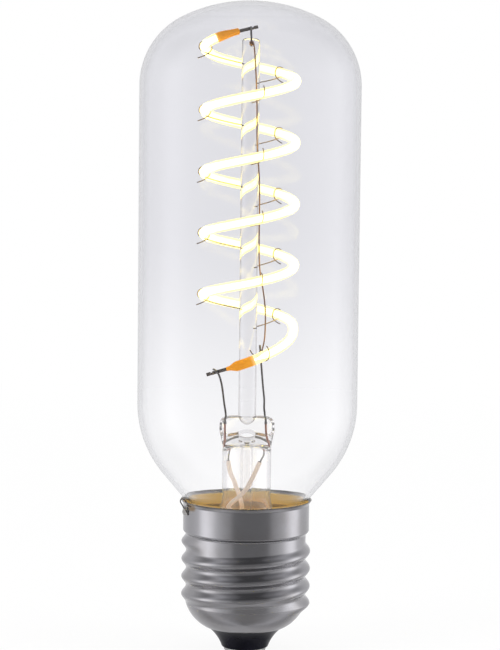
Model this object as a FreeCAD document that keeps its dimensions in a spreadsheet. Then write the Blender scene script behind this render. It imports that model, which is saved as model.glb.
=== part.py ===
"""A tubular light bulb with a spiral filament, as a parametric document.

All sizes are in millimetres. The bulb stands upright on the middle of its centre contact: +Z runs up the
axis to the top of the glass, and the side that is looked at faces -Y.
"""
import FreeCAD, Part
import Sketcher
import math
import os

Vector = FreeCAD.Vector
UP = Vector(0, 0, 1)

doc = FreeCAD.newDocument("TubularLightBulb")
sheet = doc.addObject("Spreadsheet::Sheet", "Sizes")

# Driving sizes: the name of the cell, its value, and what it measures
SIZES = [
    ("glass_radius", 22.4, "outside radius of the glass tube"),
    ("glass_wall", 0.9, "wall of the blown glass"),
    ("dome_radius", 31.0, "outside radius of the crown of the dome"),
    ("shoulder_radius", 15.5, "outside radius of the bend from tube to crown"),
    ("waist_radius", 22.0, "outside radius of the bend from tube to neck"),
    ("neck_slope", 40.0, "angle of the neck's cone from the axis, degrees"),
    ("neck_sink", 0.92, "how far the corner of cone and neck lies below the cap's rim"),
    ("neck_gap", 0.7, "gap between the glass neck and the cap's collar"),
    ("neck_bend", 3.0, "radius of the bend from cone to neck"),
    ("neck_depth", 4.2, "how far the neck reaches down into the cap"),
    ("cap_sheet", 0.3, "thickness of the cap's sheet metal"),
    ("crest_radius", 13.2, "outside radius at the crest of the thread"),
    ("thread_depth", 0.95, "height of the thread's ridge over its root"),
    ("collar_inset", 0.3, "how much smaller the collar is than the crest, in radius"),
    ("collar_height", 6.5, "height of the cap's collar with its rim"),
    ("collar_gap", 2.3, "distance from the thread's upper end to the collar"),
    ("rim_flare", 0.5, "how far the rim stands out from the collar"),
    ("rim_height", 0.8, "height of the flared rim"),
    ("step_height", 0.65, "height of the step from collar to thread"),
    ("thread_pitch", 3.629, "pitch of the round thread"),
    ("thread_turns", 3.5, "turns of the thread, a whole number of half turns"),
    ("ridge_width", 2.9, "width of the thread's ridge at its root"),
    ("thread_lead", 0.5, "distance from the skirt to the middle of the ridge's lower end"),
    ("skirt_inset", 0.15, "how much smaller the skirt is than the thread's root, in radius"),
    ("skirt_top", 9.4, "height where the skirt starts to curve in"),
    ("skirt_bend", 8.0, "outside radius of the skirt's curve"),
    ("skirt_taper", 3.7, "how far the skirt curves in towards its lower edge"),
    ("skirt_height", 4.2, "height of the skirt's curve"),
    ("floor_depth", 1.8, "depth of the insulator's floor below the top of the skirt"),
    ("insulator_end_radius", 4.8, "radius of the insulator's lower end"),
    ("insulator_end", 0.7, "height of the insulator's lower end"),
    ("insulator_bend", 9.0, "radius of the hollow curve of the insulator's flank"),
    ("insulator_round", 0.4, "rounding of the insulator's lower edge"),
    ("wire_hole_radius", 0.6, "radius of the hole for the contact wire"),
    ("contact_inset", 0.5, "how much smaller the centre contact is than the insulator's end, in radius"),
    ("contact_bore", 1.6, "radius of the contact's solder hole"),
    ("contact_round", 0.3, "rounding of the contact's edge"),
    ("cement_lift", 0.4, "how far the cement lies above the neck's lower edge"),
    ("cement_height", 1.2, "height of the cement ring"),
    ("flare_radius", 5.0, "outside radius of the stem's glass tube"),
    ("flare_wall", 0.8, "wall of the stem's glass tube"),
    ("flare_height", 6.8, "height of the flare above the neck's lower edge"),
    ("flare_slack", 0.4, "how much larger the radius of the flare's curve is than its height"),
    ("stem_reach", 14.5, "height of the stem above its flare"),
    ("press_height", 5.5, "height of the flat press"),
    ("crown_drop", 3.5, "distance from the press's top down to the end of the tube's crown"),
    ("crown_height", 3.6, "height of the crown between tube and press"),
    ("flare_crown", 4.4, "radius of the crown between tube and press"),
    ("ceiling_rise", 1.4, "height of the flat ceiling inside the stem above the crown's foot"),
    ("ceiling_inset", 1.0, "how much smaller that ceiling is than the tube's bore, in radius"),
    ("press_half_width", 5.65, "half the width of the press"),
    ("press_half_depth", 2.2, "half the depth of the press"),
    ("press_round", 1.5, "rounding of the press's edges"),
    ("blow_hole_drop", 4.2, "distance from the press's top down to the blow hole"),
    ("blow_hole_width", 3.3, "width of the blow hole"),
    ("blow_hole_rise", 1.7, "height of the blow hole's opening"),
    ("exhaust_radius", 1.3, "outside radius of the exhaust tube"),
    ("exhaust_bore", 0.8, "bore radius of the exhaust tube"),
    ("exhaust_gap", 0.8, "gap between the exhaust tube's sealed tip and the board"),
    ("weld_depth", 1.6, "depth in the press where an inner lead is welded to its sealed wire"),
    ("lead_spread", 4.3, "distance of the left lead from the axis in the press"),
    ("rod_depth", 1.9, "how deep the rod's foot sits in the press"),
    ("rod_radius", 1.8, "radius of the glass rod"),
    ("rod_crown", 2.4, "how far the rod reaches above the coil's last point"),
    ("rod_round", 1.2, "rounding of the rod's top"),
    ("coil_radius", 9.15, "radius of the filament's coil, to its middle"),
    ("coil_pitch", 12.4, "pitch of the coil"),
    ("coil_lift", 18.5, "distance from the stem's press up to the coil's first point"),
    ("crown_gap", 9.8, "distance from the coil's last point up to the top of the glass"),
    ("coil_turns", 4.5, "turns of the coil, a whole number of half turns"),
    ("top_lift", 0.4, "rise of the coil's last point above its formula"),
    ("strand_radius", 0.975, "radius of the filament's strand"),
    ("strip_width", 0.7, "width of a terminal strip"),
    ("strip_thickness", 0.25, "thickness of a terminal strip"),
    ("strip_length", 4.5, "length of a terminal strip"),
    ("strip_notch", 0.2, "depth of the notch in a strip's edge"),
    ("strip_gap", 0.05, "gap between a strip and what it is welded to"),
    ("post_radius", 0.2, "radius of the post on top of the rod"),
    ("post_reach", 2.5, "height of the post's top above the rod"),
    ("lead_radius", 0.2, "radius of the inner leads"),
    ("seal_radius", 0.2, "radius of the copper clad wires in the press"),
    ("tail_radius", 0.17, "radius of the outer leads"),
    ("return_radius", 0.15, "radius of the return wire"),
    ("sleeve_radius", 0.43, "outside radius of the insulating sleeves"),
    ("sleeve_bore", 0.2, "bore radius of the insulating sleeves"),
    ("sleeve_drop", 3.9, "distance from the stem's ceiling down to the sleeves"),
    ("sleeve_lift", 2.2, "height of the sleeves' lower ends above the board"),
    ("hook_radius", 0.125, "radius of the support hooks' wire"),
    ("hook_gap", 0.09, "gap between a hook and the strand that it holds"),
    ("hook_depth", 0.9, "how deep a hook's foot sits in the rod"),
    ("left_hook_drop", 2.9, "distance from the strand down to the foot of a left hook"),
    ("back_hook_drop", 2.25, "distance from the strand down to the foot of a back hook"),
    ("front_hook_drop", 1.92, "distance from the strand down to the foot of a front hook"),
    ("tail_hook_lift", 0.18, "height of the tail hook's foot above the strand that it holds"),
    ("tail_droop", 5.08, "drop of the tail at its hook below the coil's first point"),
    ("tail_reach", 0.13, "how much further in than the coil the tail lies at its hook"),
    ("tail_elbow", 1.42, "depth of the bend in the tail's hook below the strand"),
    ("end_slack", 0.1, "extra gap at the two hooks where the strand leaves the coil's line"),
    ("side_wire_radius", 0.12, "radius of the side contact's wire"),
    ("side_angle", 198.0, "direction of the side contact from +X, degrees"),
    ("solder_width", 1.3, "half the width of the side solder"),
    ("solder_depth", 0.6, "how far the side solder stands out"),
    ("solder_height", 1.0, "half the height of the side solder"),
    ("board_width", 14.0, "width of the driver board"),
    ("board_height", 12.0, "height of the driver board"),
    ("board_thickness", 1.0, "thickness of the driver board"),
    ("board_face", 0.25, "distance of the board's front face behind the axis"),
    ("capacitor_radius", 3.1, "radius of the smoothing capacitor"),
    ("capacitor_length", 8.0, "length of the smoothing capacitor"),
    ("rectifier_width", 4.7, "width of the bridge rectifier"),
    ("rectifier_height", 3.9, "height of the bridge rectifier"),
    ("rectifier_depth", 2.0, "depth of the bridge rectifier"),
    ("chip_width", 3.9, "width of the driver chip"),
    ("chip_height", 4.9, "height of the driver chip"),
    ("chip_depth", 1.5, "depth of the driver chip"),
    ("resistor_radius", 1.1, "radius of the fuse resistor"),
    ("resistor_length", 6.0, "length of the fuse resistor"),
]
# Sizes that follow from the driving ones, each by a rule over the names above it or in the sheet
LEVELS = {
    "root_radius": "crest_radius - thread_depth",
    "collar_radius": "crest_radius - collar_inset",
    "rim_radius": "collar_radius + rim_flare",
    "skirt_radius": "root_radius - skirt_inset",
    "skirt_end_radius": "skirt_radius - skirt_taper",
    "skirt_end": "skirt_top - skirt_height",
    "insulator_top": "skirt_top - floor_depth",
    "contact_radius": "insulator_end_radius - contact_inset",
    "thread_start": "skirt_top + thread_lead",
    "collar_end": "thread_start + thread_pitch * thread_turns + collar_gap",
    "cap_top": "collar_end + collar_height",
    "board_top": "insulator_top + board_height",
    "neck_radius": "collar_radius - cap_sheet - neck_gap",
    "neck_end": "cap_top - neck_depth",
    "cement_low": "neck_end + cement_lift",
    "cement_high": "cement_low + cement_height",
    "flare_spread": "neck_end + flare_height",
    "flare_bend": "flare_height + flare_slack",
    "press_top": "flare_spread + stem_reach",
    "press_foot": "press_top - press_height",
    "press_middle": "press_top - crown_drop",
    "press_end_radius": "press_half_depth * 1.0005",
    "flare_top": "press_middle - crown_height",
    "stem_ceiling": "flare_top + ceiling_rise",
    "ceiling_radius": "flare_radius - flare_wall - ceiling_inset",
    "blow_hole_height": "press_top - blow_hole_drop",
    "seal_weld": "press_top - weld_depth",
    "rod_foot": "press_top - rod_depth",
    "exhaust_end": "board_top + exhaust_gap",
    "sleeve_high": "stem_ceiling - sleeve_drop",
    "sleeve_low": "board_top + sleeve_lift",
    "coil_start": "press_top + coil_lift",
    "coil_end": "coil_start + coil_pitch * coil_turns",
    "glass_top": "coil_end + crown_gap",
    "rod_top": "coil_end + rod_crown",
    "post_top": "rod_top + post_reach",
}
for row, (alias, value, note) in enumerate(SIZES, start=1):
    sheet.set(f"A{row}", note)
    sheet.set(f"B{row}", str(value))
    sheet.setAlias(f"B{row}", alias)
doc.recompute()
size = {alias: float(sheet.get(alias)) for alias, _, _ in SIZES}
nodes = []


# Helpers for sketches and bound sizes

def bound(text):
    """An expression over the sheet's cells, from one over the names of sizes and levels."""
    words = text.replace("(", " ( ").replace(")", " ) ").split()
    for number, word in enumerate(words):
        if word in LEVELS:
            words[number] = f"( {bound(LEVELS[word])} )"
        elif word in size:
            words[number] = f"Sizes.{word}"
    return " ".join(words)


def worth(place):
    """The number that a place comes to: a plain number, or an expression over the sheet's names."""
    if not isinstance(place, str):
        return place
    result = sheet.evalExpression(bound(place))
    return float(getattr(result, "Value", result))


size.update({name: worth(rule) for name, rule in LEVELS.items()})


def bind(item, **expressions):
    for name, text in expressions.items():
        item.setExpression(name, bound(text))


def origin_plane(body, role):
    return next(item for item in body.Origin.OriginFeatures if item.Role == role)


def new_sketch(body, name, role, lift=None):
    sketch = body.newObject("Sketcher::SketchObject", name)
    sketch.AttachmentSupport = (origin_plane(body, role), "")
    sketch.MapMode = "FlatFace"
    if lift:
        sketch.setExpression("AttachmentOffset.Base.z", bound(lift))
    return sketch


def constrain(sketch, place, *terms):
    """Add a constraint of one size, bound to the sheet where its size is an expression."""
    number = sketch.addConstraint(Sketcher.Constraint(*terms, worth(place)))
    if isinstance(place, str):
        sketch.setExpression(f"Constraints[{number}]", bound(place))


def end_at(sketch, edge, point):
    """Which end of an edge lies at a point: 1 for its start, 2 for its end."""
    reach = [(sketch.getPoint(edge, end) - point).Length for end in (1, 2)]
    return 1 if reach[0] <= reach[1] else 2


def pin_down(sketch, edge, end, x, y):
    for kind, axis, place in (("DistanceX", -2, x), ("DistanceY", -1, y)):
        if place == 0:
            sketch.addConstraint(Sketcher.Constraint("PointOnObject", edge, end, axis))
        else:
            constrain(sketch, place, kind, -1, 1, edge, end)


def outline(sketch, corners):
    """A closed outline. A corner is (x, y), or (x, y, radius, side) where the edge that leaves it is an
    arc that bulges to the left of its way (side 1) or to the right (side -1)."""
    places = [Vector(worth(corner[0]), worth(corner[1]), 0) for corner in corners]
    meets = places[1:] + places[:1]
    for corner, here, there in zip(corners, places, meets):
        if len(corner) == 2:
            sketch.addGeometry(Part.LineSegment(here, there), False)
            continue
        radius, side = worth(corner[2]), corner[3]
        chord = there - here
        rise = radius - math.sqrt(radius**2 - chord.Length**2 / 4)
        left = Vector(-chord.y, chord.x, 0).normalize()
        sketch.addGeometry(Part.Arc(here, (here + there) * 0.5 + left * (side * rise), there), False)
    for edge, corner in enumerate(corners):
        after = (edge + 1) % len(corners)
        sketch.addConstraint(Sketcher.Constraint(
            "Coincident", edge, end_at(sketch, edge, meets[edge]), after, end_at(sketch, after, meets[edge])))
        pin_down(sketch, edge, end_at(sketch, edge, places[edge]), corner[0], corner[1])
        if len(corner) == 4:
            constrain(sketch, corner[2], "Radius", edge)


def turned(body, name, corners, kind="PartDesign::Revolution"):
    """Turn an outline in the XZ plane about the axis of the bulb."""
    sketch = new_sketch(body, name + "_outline", "XZ_Plane")
    outline(sketch, corners)
    doc.recompute()
    feature = body.newObject(kind, name)
    feature.Profile = sketch
    feature.ReferenceAxis = (sketch, ["V_Axis"])
    feature.Angle = 360
    sketch.Visibility = False
    doc.recompute()
    return feature


def new_body(label):
    body = doc.addObject("PartDesign::Body", label)
    body.Label = label
    return body


def keep(item, label):
    """List an object as one of the bulb's pieces, under the name of its file."""
    item.Label = label
    nodes.append(item)
    return item


def shaped(label, shape):
    """An object whose shape is made here from the sheet's sizes."""
    item = doc.addObject("Part::Feature", label)
    item.Shape = shape
    return item


def cut_with(base, tools, label):
    """A base with the shapes of the pieces that pass through it taken out, one after the other."""
    whole = base
    if base.isDerivedFrom("PartDesign::Body"):
        whole = shaped(label + "_blank", base.Tip.Shape)
    for number, tool in enumerate(tools, start=1):
        cut = doc.addObject("Part::Cut", f"{label}_cut_{number}")
        cut.Base = whole
        cut.Tool = tool
        whole = cut
    doc.recompute()
    return whole


# Helpers for wires that bend in space

def rounded(points, share=0.45):
    """Straight runs joined by tangent arcs, each as large as its two runs allow."""
    edges = []
    last = points[0]
    for before, corner, after in zip(points, points[1:], points[2:]):
        back, ahead = before - corner, after - corner
        reach = share * min(back.Length, ahead.Length)
        start = corner + back.normalize() * reach
        end = corner + ahead.normalize() * reach
        bisector = (back + ahead).normalize()
        half = back.getAngle(bisector)
        centre = corner + bisector * (reach / math.cos(half))
        middle = centre - bisector * (reach * math.tan(half))
        if (start - last).Length > 1e-3:
            edges.append(Part.LineSegment(last, start).toShape())
        edges.append(Part.Arc(start, middle, end).toShape())
        last = end
    if (points[-1] - last).Length > 1e-3:
        edges.append(Part.LineSegment(last, points[-1]).toShape())
    return Part.Wire(edges)


def wire(points, radius, share=0.45):
    """A round wire along a route of points."""
    path = rounded(points, share)
    ring = Part.makeCircle(radius, points[0], points[1] - points[0])
    solid = path.makePipeShell([Part.Wire(ring)], True, True)
    ratio = solid.Volume / (math.pi * radius**2 * path.Length)
    if abs(ratio - 1) > 0.01:
        raise ValueError(f"a wire's volume is {ratio:.3f} of its section times its length")
    return solid


def around(angle, radius, height):
    """A place given by its direction from +X in degrees, its distance from the axis and its height."""
    turn = math.radians(angle)
    return Vector(radius * math.cos(turn), radius * math.sin(turn), height)


# Glass envelope: one turned shape, hollowed by its wall

def waist_height():
    """Height where the straight tube ends, from the corner where the cone meets the neck in the cap."""
    slope = math.radians(size["neck_slope"])
    cone = size["glass_radius"] - size["waist_radius"] * (1 - math.cos(slope))
    rise = (cone - size["neck_radius"]) / math.tan(slope)
    return size["cap_top"] - size["neck_sink"] + rise + size["waist_radius"] * math.sin(slope)


def glass_line(depth):
    """The turned line of the glass from its neck to its crown, at a depth below the outside."""
    tube = size["glass_radius"] - depth
    waist = size["waist_radius"] - depth
    shoulder = size["shoulder_radius"] - depth
    crown = size["dome_radius"] - depth
    neck_bend = size["neck_bend"] + depth
    neck = size["neck_radius"] - depth
    slope = math.radians(size["neck_slope"])
    cone_top = (tube - waist + waist * math.cos(slope), waist_height() - waist * math.sin(slope))
    corner = cone_top[1] - (cone_top[0] - neck) / math.tan(slope)
    reach = neck_bend * math.tan(slope / 2)
    shoulder_axis = tube - shoulder
    crown_centre = size["glass_top"] - size["dome_radius"]
    shoulder_centre = crown_centre + math.sqrt((crown - shoulder)**2 - shoulder_axis**2)
    stretch = crown / (crown - shoulder)
    return [
        (neck, size["neck_end"]),
        (neck, corner - reach, neck_bend, 1),
        (neck + reach * math.sin(slope), corner + reach * math.cos(slope)),
        (*cone_top, waist, -1),
        (tube, waist_height()),
        (tube, shoulder_centre, shoulder, -1),
        (shoulder_axis * stretch, crown_centre + (shoulder_centre - crown_centre) * stretch, crown, -1),
        (0, crown_centre + crown),
    ]


def reversed_line(corners):
    """The same line walked the other way, so that each arc leaves from its other end."""
    back = []
    for corner, before in zip(corners[::-1], corners[-2::-1] + [()]):
        arc = (before[2], -before[3]) if len(before) == 4 else ()
        back.append((corner[0], corner[1], *arc))
    return back


def bind_first_names(corners, names):
    """Swap the numbers of some corners for expressions: names is {corner: (x, y)}, None keeps a number."""
    for index, (x, y) in names.items():
        corner = corners[index]
        corners[index] = (x or corner[0], y or corner[1], *corner[2:])
    return corners


def make_glass_envelope():
    outside = bind_first_names(glass_line(0), {
        0: ("neck_radius", "neck_end"), 1: ("neck_radius", None),
        4: ("glass_radius", None), 5: ("glass_radius", None), 7: (None, "glass_top")})
    inside = bind_first_names(glass_line(size["glass_wall"]), {
        0: ("neck_radius - glass_wall", "neck_end"), 1: ("neck_radius - glass_wall", None),
        4: ("glass_radius - glass_wall", None), 5: ("glass_radius - glass_wall", None),
        7: (None, "glass_top - glass_wall")})
    body = new_body("glass_envelope")
    turned(body, "blown_glass", outside + reversed_line(inside))
    return keep(body, "glass_envelope")


# Cap shell: a thin turned shell, with the round thread raised on it and sunk into it from inside

def inward(start, end, radius, depth):
    """Both ends of an arc that bulges right of its way, moved towards its centre."""
    chord = end - start
    left = Vector(-chord.y, chord.x, 0).normalize()
    centre = (start + end) * 0.5 + left * math.sqrt(radius**2 - chord.Length**2 / 4)
    return [point + (centre - point).normalize() * depth for point in (start, end)]


def skirt_lining():
    """The skirt's inner curve: its lower and its upper end."""
    low = Vector(size["skirt_end_radius"], size["skirt_end"], 0)
    high = Vector(size["skirt_radius"], size["skirt_top"], 0)
    return inward(low, high, size["skirt_bend"], size["cap_sheet"])


def wound_ridge(body, name, depth, kind):
    """The thread's round ridge wound round the wall, at a depth below the outside."""
    half = size["ridge_width"] / 2
    low = size["thread_start"]
    root, crest = size["root_radius"] - depth, size["crest_radius"] - depth
    sunk = root - size["cap_sheet"] / 2
    rise = crest - root
    ridge_bend = (half**2 + rise**2) / (2 * rise)
    section = new_sketch(body, name + "_section", "XZ_Plane")
    outline(section, [(root, low - half, ridge_bend, -1), (root, low + half),
                      (sunk, low + half), (sunk, low - half)])
    doc.recompute()
    helix = body.newObject(kind, name)
    helix.Profile = section
    helix.ReferenceAxis = (section, ["V_Axis"])
    helix.Mode = 1
    helix.Angle = 0
    bind(helix, Pitch="thread_pitch", Turns="thread_turns")
    section.Visibility = False
    doc.recompute()


def ridge_end(body, name, height, way):
    """A dome that ends the ridge, turned about the radial line at its height; way is its side in X."""
    half = size["ridge_width"] / 2
    root, crest = size["root_radius"], size["crest_radius"]
    sunk = root - size["cap_sheet"] / 2
    ridge_bend = (half**2 + (crest - root) ** 2) / (2 * (crest - root))
    on_arc = crest - ridge_bend + math.sqrt(ridge_bend**2 - (half / 2) ** 2)
    sketch = new_sketch(body, name + "_outline", "XZ_Plane")
    axis = sketch.addGeometry(Part.LineSegment(Vector(0, height, 0), Vector(way, height, 0)), True)
    corners = [Vector(way * x, y, 0) for x, y in (
        (crest, height), (root, height + half), (sunk, height + half), (sunk, height))]
    sketch.addGeometry(Part.Arc(corners[0], Vector(way * on_arc, height + half / 2, 0), corners[1]), False)
    for here, there in zip(corners[1:], corners[2:] + corners[:1]):
        sketch.addGeometry(Part.LineSegment(here, there), False)
    doc.recompute()
    dome = body.newObject("PartDesign::Revolution", name)
    dome.Profile = sketch
    dome.ReferenceAxis = (sketch, [f"Axis{axis}"])
    dome.Angle = 360
    sketch.Visibility = False
    doc.recompute()


def make_cap_shell():
    low, high = skirt_lining()
    rim_foot = "cap_top - rim_height"
    body = new_body("cap_shell")
    turned(body, "drawn_shell", [
        ("skirt_end_radius", "skirt_end", "skirt_bend", -1),
        ("skirt_radius", "skirt_top"),
        ("root_radius", "skirt_top + step_height"),
        ("root_radius", "collar_end - step_height"),
        ("collar_radius", "collar_end"),
        ("collar_radius", rim_foot),
        ("rim_radius", "cap_top"),
        ("rim_radius - cap_sheet", "cap_top"),
        ("collar_radius - cap_sheet", rim_foot),
        ("collar_radius - cap_sheet", "collar_end"),
        ("root_radius - cap_sheet", "collar_end - step_height"),
        ("root_radius - cap_sheet", "skirt_top + step_height"),
        (high.x, high.y, "skirt_bend - cap_sheet", 1),
        (low.x, low.y),
    ])
    far_side = -1 if round(2 * size["thread_turns"]) % 2 else 1
    thread_end = size["thread_start"] + size["thread_pitch"] * size["thread_turns"]
    wound_ridge(body, "thread_ridge", 0, "PartDesign::AdditiveHelix")
    ridge_end(body, "ridge_foot", size["thread_start"], 1)
    ridge_end(body, "ridge_head", thread_end, far_side)
    wound_ridge(body, "thread_hollow", size["cap_sheet"], "PartDesign::SubtractiveHelix")
    return keep(body, "cap_shell")


# Insulator and centre contact at the foot of the cap

def make_insulator():
    low, high = skirt_lining()
    top = size["insulator_top"]
    lining_bend = size["skirt_bend"] - size["cap_sheet"]
    chord = high - low
    left = Vector(-chord.y, chord.x, 0).normalize()
    centre = (low + high) * 0.5 + left * math.sqrt(lining_bend**2 - chord.Length**2 / 4)
    rim = centre.x + math.sqrt(lining_bend**2 - (centre.y - top) ** 2)
    body = new_body("insulator")
    turned(body, "glass_insulator", [
        ("wire_hole_radius", "insulator_end"),
        ("insulator_end_radius - insulator_round", "insulator_end", "insulator_round * 1.1", -1),
        ("insulator_end_radius", "insulator_end + insulator_round", "insulator_bend", 1),
        (low.x, low.y, lining_bend, -1),
        (rim, "insulator_top"),
        ("wire_hole_radius", "insulator_top"),
    ])
    return keep(body, "insulator")


def make_centre_contact():
    body = new_body("centre_contact")
    turned(body, "contact_disc", [
        ("contact_bore", 0),
        ("contact_radius - contact_round", 0, "contact_round", -1),
        ("contact_radius", "contact_round"),
        ("contact_radius", "insulator_end"),
        ("contact_bore", "insulator_end"),
    ])
    return keep(body, "centre_contact")


def make_contact_wire():
    """A straight wire from the board down through the insulator, ending in the contact's solder."""
    rod = doc.addObject("Part::Cylinder", "contact_wire")
    bind(rod, Radius="tail_radius", Height="insulator_top + board_height / 4 - insulator_end / 2")
    rod.setExpression("Placement.Base.z", bound("insulator_end / 2"))
    doc.recompute()
    return keep(rod, "contact_wire")


def make_contact_solder(contact_wire):
    drop = doc.addObject("Part::Cylinder", "solder_drop")
    bind(drop, Radius="contact_bore", Height="insulator_end")
    return keep(cut_with(drop, [contact_wire], "contact_solder"), "contact_solder")


# Filament: a coil by formula, with a drooping tail below and an end curled to the axis above

def coil_height(angle):
    """Height of the coil's middle line at an angle from +X, counted on from turn to turn."""
    return size["coil_start"] + size["coil_pitch"] * angle / 360


def coil_route():
    step = 30
    reach = size["coil_radius"]
    corner_radius = reach / math.cos(math.radians(step / 2))
    last = size["coil_turns"] * 360
    foot, head = size["coil_start"], size["coil_end"]
    tail = [around(-119, reach - 0.69, foot - 8.1), around(-93.9, reach - 0.23, foot - 6.9),
            around(-66.5, reach + 0.12, foot - 5.1), around(-40.3, reach + 0.43, foot - 3.3),
            around(-15, corner_radius, foot - 1.6)]
    angles = range(15, round(last) - 15, step)
    coil = [around(angle, corner_radius, coil_height(angle)) for angle in angles]
    lift = size["top_lift"]
    curl = [around(last - 15, corner_radius, coil_height(last - 15) + lift / 2),
            around(last + 12, corner_radius, coil_height(last + 12) + 1.5 * lift),
            around(-149, reach - 1.05, head + 2.2), around(-156, 0.56 * reach, head + 3.15),
            Vector(-2.6, -0.92, head + 3.75)]
    return tail + coil + curl


def make_filament():
    return keep(shaped("led_filament", wire(coil_route(), size["strand_radius"], 0.5)), "led_filament")


def make_strip(label, end, before):
    """A notched terminal strip that goes on from the end of the filament, the way the strand comes."""
    length = size["strip_length"]
    body = new_body(label)
    sketch = new_sketch(body, label + "_outline", "XZ_Plane")
    notch = "strip_width / 2 - strip_notch"
    outline(sketch, [
        (0, "0 - strip_width / 2"), ("strip_length", "0 - strip_width / 2"), ("strip_length", "strip_width / 2"),
        (0.8 * length, "strip_width / 2"), (0.8 * length, notch), (0.7 * length, notch),
        (0.7 * length, "strip_width / 2"), (0, "strip_width / 2")])
    pad = body.newObject("PartDesign::Pad", label + "_blank")
    pad.Profile = sketch
    bind(pad, Length="strip_thickness")
    pad.Midplane = True
    sketch.Visibility = False
    way = (end - before).normalize()
    start = end + way * (size["strip_gap"] + size["strip_thickness"] / 2)
    flat = FreeCAD.Rotation(way, UP.cross(way), way.cross(UP.cross(way)), "XYZ")
    body.Placement = FreeCAD.Placement(start, flat)
    doc.recompute()
    return keep(body, label)


# Stem: the flare tube with its pinched press, the exhaust tube and the rod

def make_stem_glass():
    inner = size["flare_radius"] - size["flare_wall"]
    rim = size["neck_end"] - size["glass_wall"]
    bend = size["flare_bend"]
    centre = size["flare_radius"] + bend
    inner_edge = centre - math.sqrt((bend + size["flare_wall"]) ** 2 - (size["flare_spread"] - rim) ** 2)
    outer_edge = centre - math.sqrt(bend**2 - (size["flare_spread"] - size["neck_end"]) ** 2)
    body = new_body("stem_glass")
    pinch = new_sketch(body, "press_outline", "XY_Plane", "press_foot")
    left, right = "press_half_depth - press_half_width", "press_half_width - press_half_depth"
    outline(pinch, [
        (left, "0 - press_half_depth"),
        (right, "0 - press_half_depth", "press_end_radius", -1),
        (right, "press_half_depth"),
        (left, "press_half_depth", "press_end_radius", -1),
    ])
    doc.recompute()
    press = body.newObject("PartDesign::Pad", "press")
    press.Profile = pinch
    bind(press, Length="press_top - press_foot")
    pinch.Visibility = False
    doc.recompute()
    brim = body.newObject("PartDesign::Fillet", "press_brim")
    brim.Base = (press, [f"Edge{number}" for number, edge in enumerate(press.Shape.Edges, start=1)
                         if edge.BoundBox.ZLength < 1e-6])
    bind(brim, Radius="press_round")
    doc.recompute()
    turned(body, "flare_tube", [
        ("flare_radius - flare_wall", "flare_spread", "flare_bend + flare_wall", -1),
        (inner_edge, "neck_end - glass_wall"),
        ("neck_radius", "neck_end - glass_wall"),
        ("neck_radius", "neck_end"),
        (outer_edge, "neck_end", "flare_bend", 1),
        ("flare_radius", "flare_spread"),
        ("flare_radius", "flare_top", "flare_crown", -1),
        ("press_half_depth", "press_middle"),
        (0, "press_middle"),
        (0, "flare_top"),
        ("flare_radius - flare_wall", "flare_top"),
    ])
    turned(body, "stem_hollow", [
        (0, "flare_top"),
        (inner, "flare_top", 1.6, -1),
        ("ceiling_radius", "stem_ceiling"),
        ("exhaust_bore", "stem_ceiling"),
        ("exhaust_bore", "blow_hole_height"),
        (0, "blow_hole_height"),
    ], "PartDesign::Groove")
    mouth = new_sketch(body, "blow_hole_outline", "XZ_Plane")
    middle = Vector(0, size["blow_hole_height"], 0)
    wide, high = size["blow_hole_width"] / 2, size["blow_hole_rise"] / 2
    mouth.addGeometry(Part.Ellipse(middle + Vector(wide, 0, 0), middle + Vector(0, high, 0), middle), False)
    seat = new_sketch(body, "rod_socket_outline", "XY_Plane", "rod_foot")
    seat.addGeometry(Part.Circle(Vector(), UP, size["rod_radius"]), False)
    constrain(seat, "rod_radius", "Radius", 0)
    doc.recompute()
    hole = body.newObject("PartDesign::Pocket", "blow_hole")
    hole.Profile = mouth
    hole.Type = 1
    hole.Midplane = True
    mouth.Visibility = False
    doc.recompute()
    socket = body.newObject("PartDesign::Pocket", "rod_socket")
    socket.Profile = seat
    socket.Reversed = True
    bind(socket, Length="press_top - rod_foot")
    seat.Visibility = False
    doc.recompute()
    return body


def make_exhaust_tube():
    body = new_body("exhaust_tube")
    turned(body, "drawn_tube", [
        ("exhaust_bore", "stem_ceiling"),
        ("exhaust_bore", "exhaust_end + exhaust_radius * 2"),
        (0, "exhaust_end + exhaust_radius * 2"),
        (0, "exhaust_end"),
        ("exhaust_radius / 3", "exhaust_end", "exhaust_radius * 2", -1),
        ("exhaust_radius", "exhaust_end + exhaust_radius * 2"),
        ("exhaust_radius", "stem_ceiling"),
    ])
    return keep(body, "exhaust_tube")


def make_rod_glass():
    body = new_body("rod_glass")
    turned(body, "drawn_rod", [
        (0, "rod_foot"),
        ("rod_radius", "rod_foot"),
        ("rod_radius", "rod_top - rod_round", "rod_round", -1),
        ("rod_radius - rod_round", "rod_top"),
        (0, "rod_top"),
    ])
    return body


# Wires: routes by points chosen by eye along each wire, from its upper end down

def make_wire(label, points, radius, share=0.5):
    return keep(shaped(label, wire(points, size[radius], share)), label)


def post_route():
    """The post stands beside the upper strip, comes down in front of the rod and ends in its side."""
    top, front = size["rod_top"], size["rod_radius"] + size["post_radius"]
    return [Vector(0, 0, size["post_top"]), Vector(0, 0, top + 1.3), Vector(0.05, -0.8, top + 0.65),
            Vector(0.1, -front - 0.05, top - 0.2), Vector(0.1, -front - 0.05, top - 1.1),
            Vector(0.1, -front + 0.7, top - 1.6)]


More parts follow.
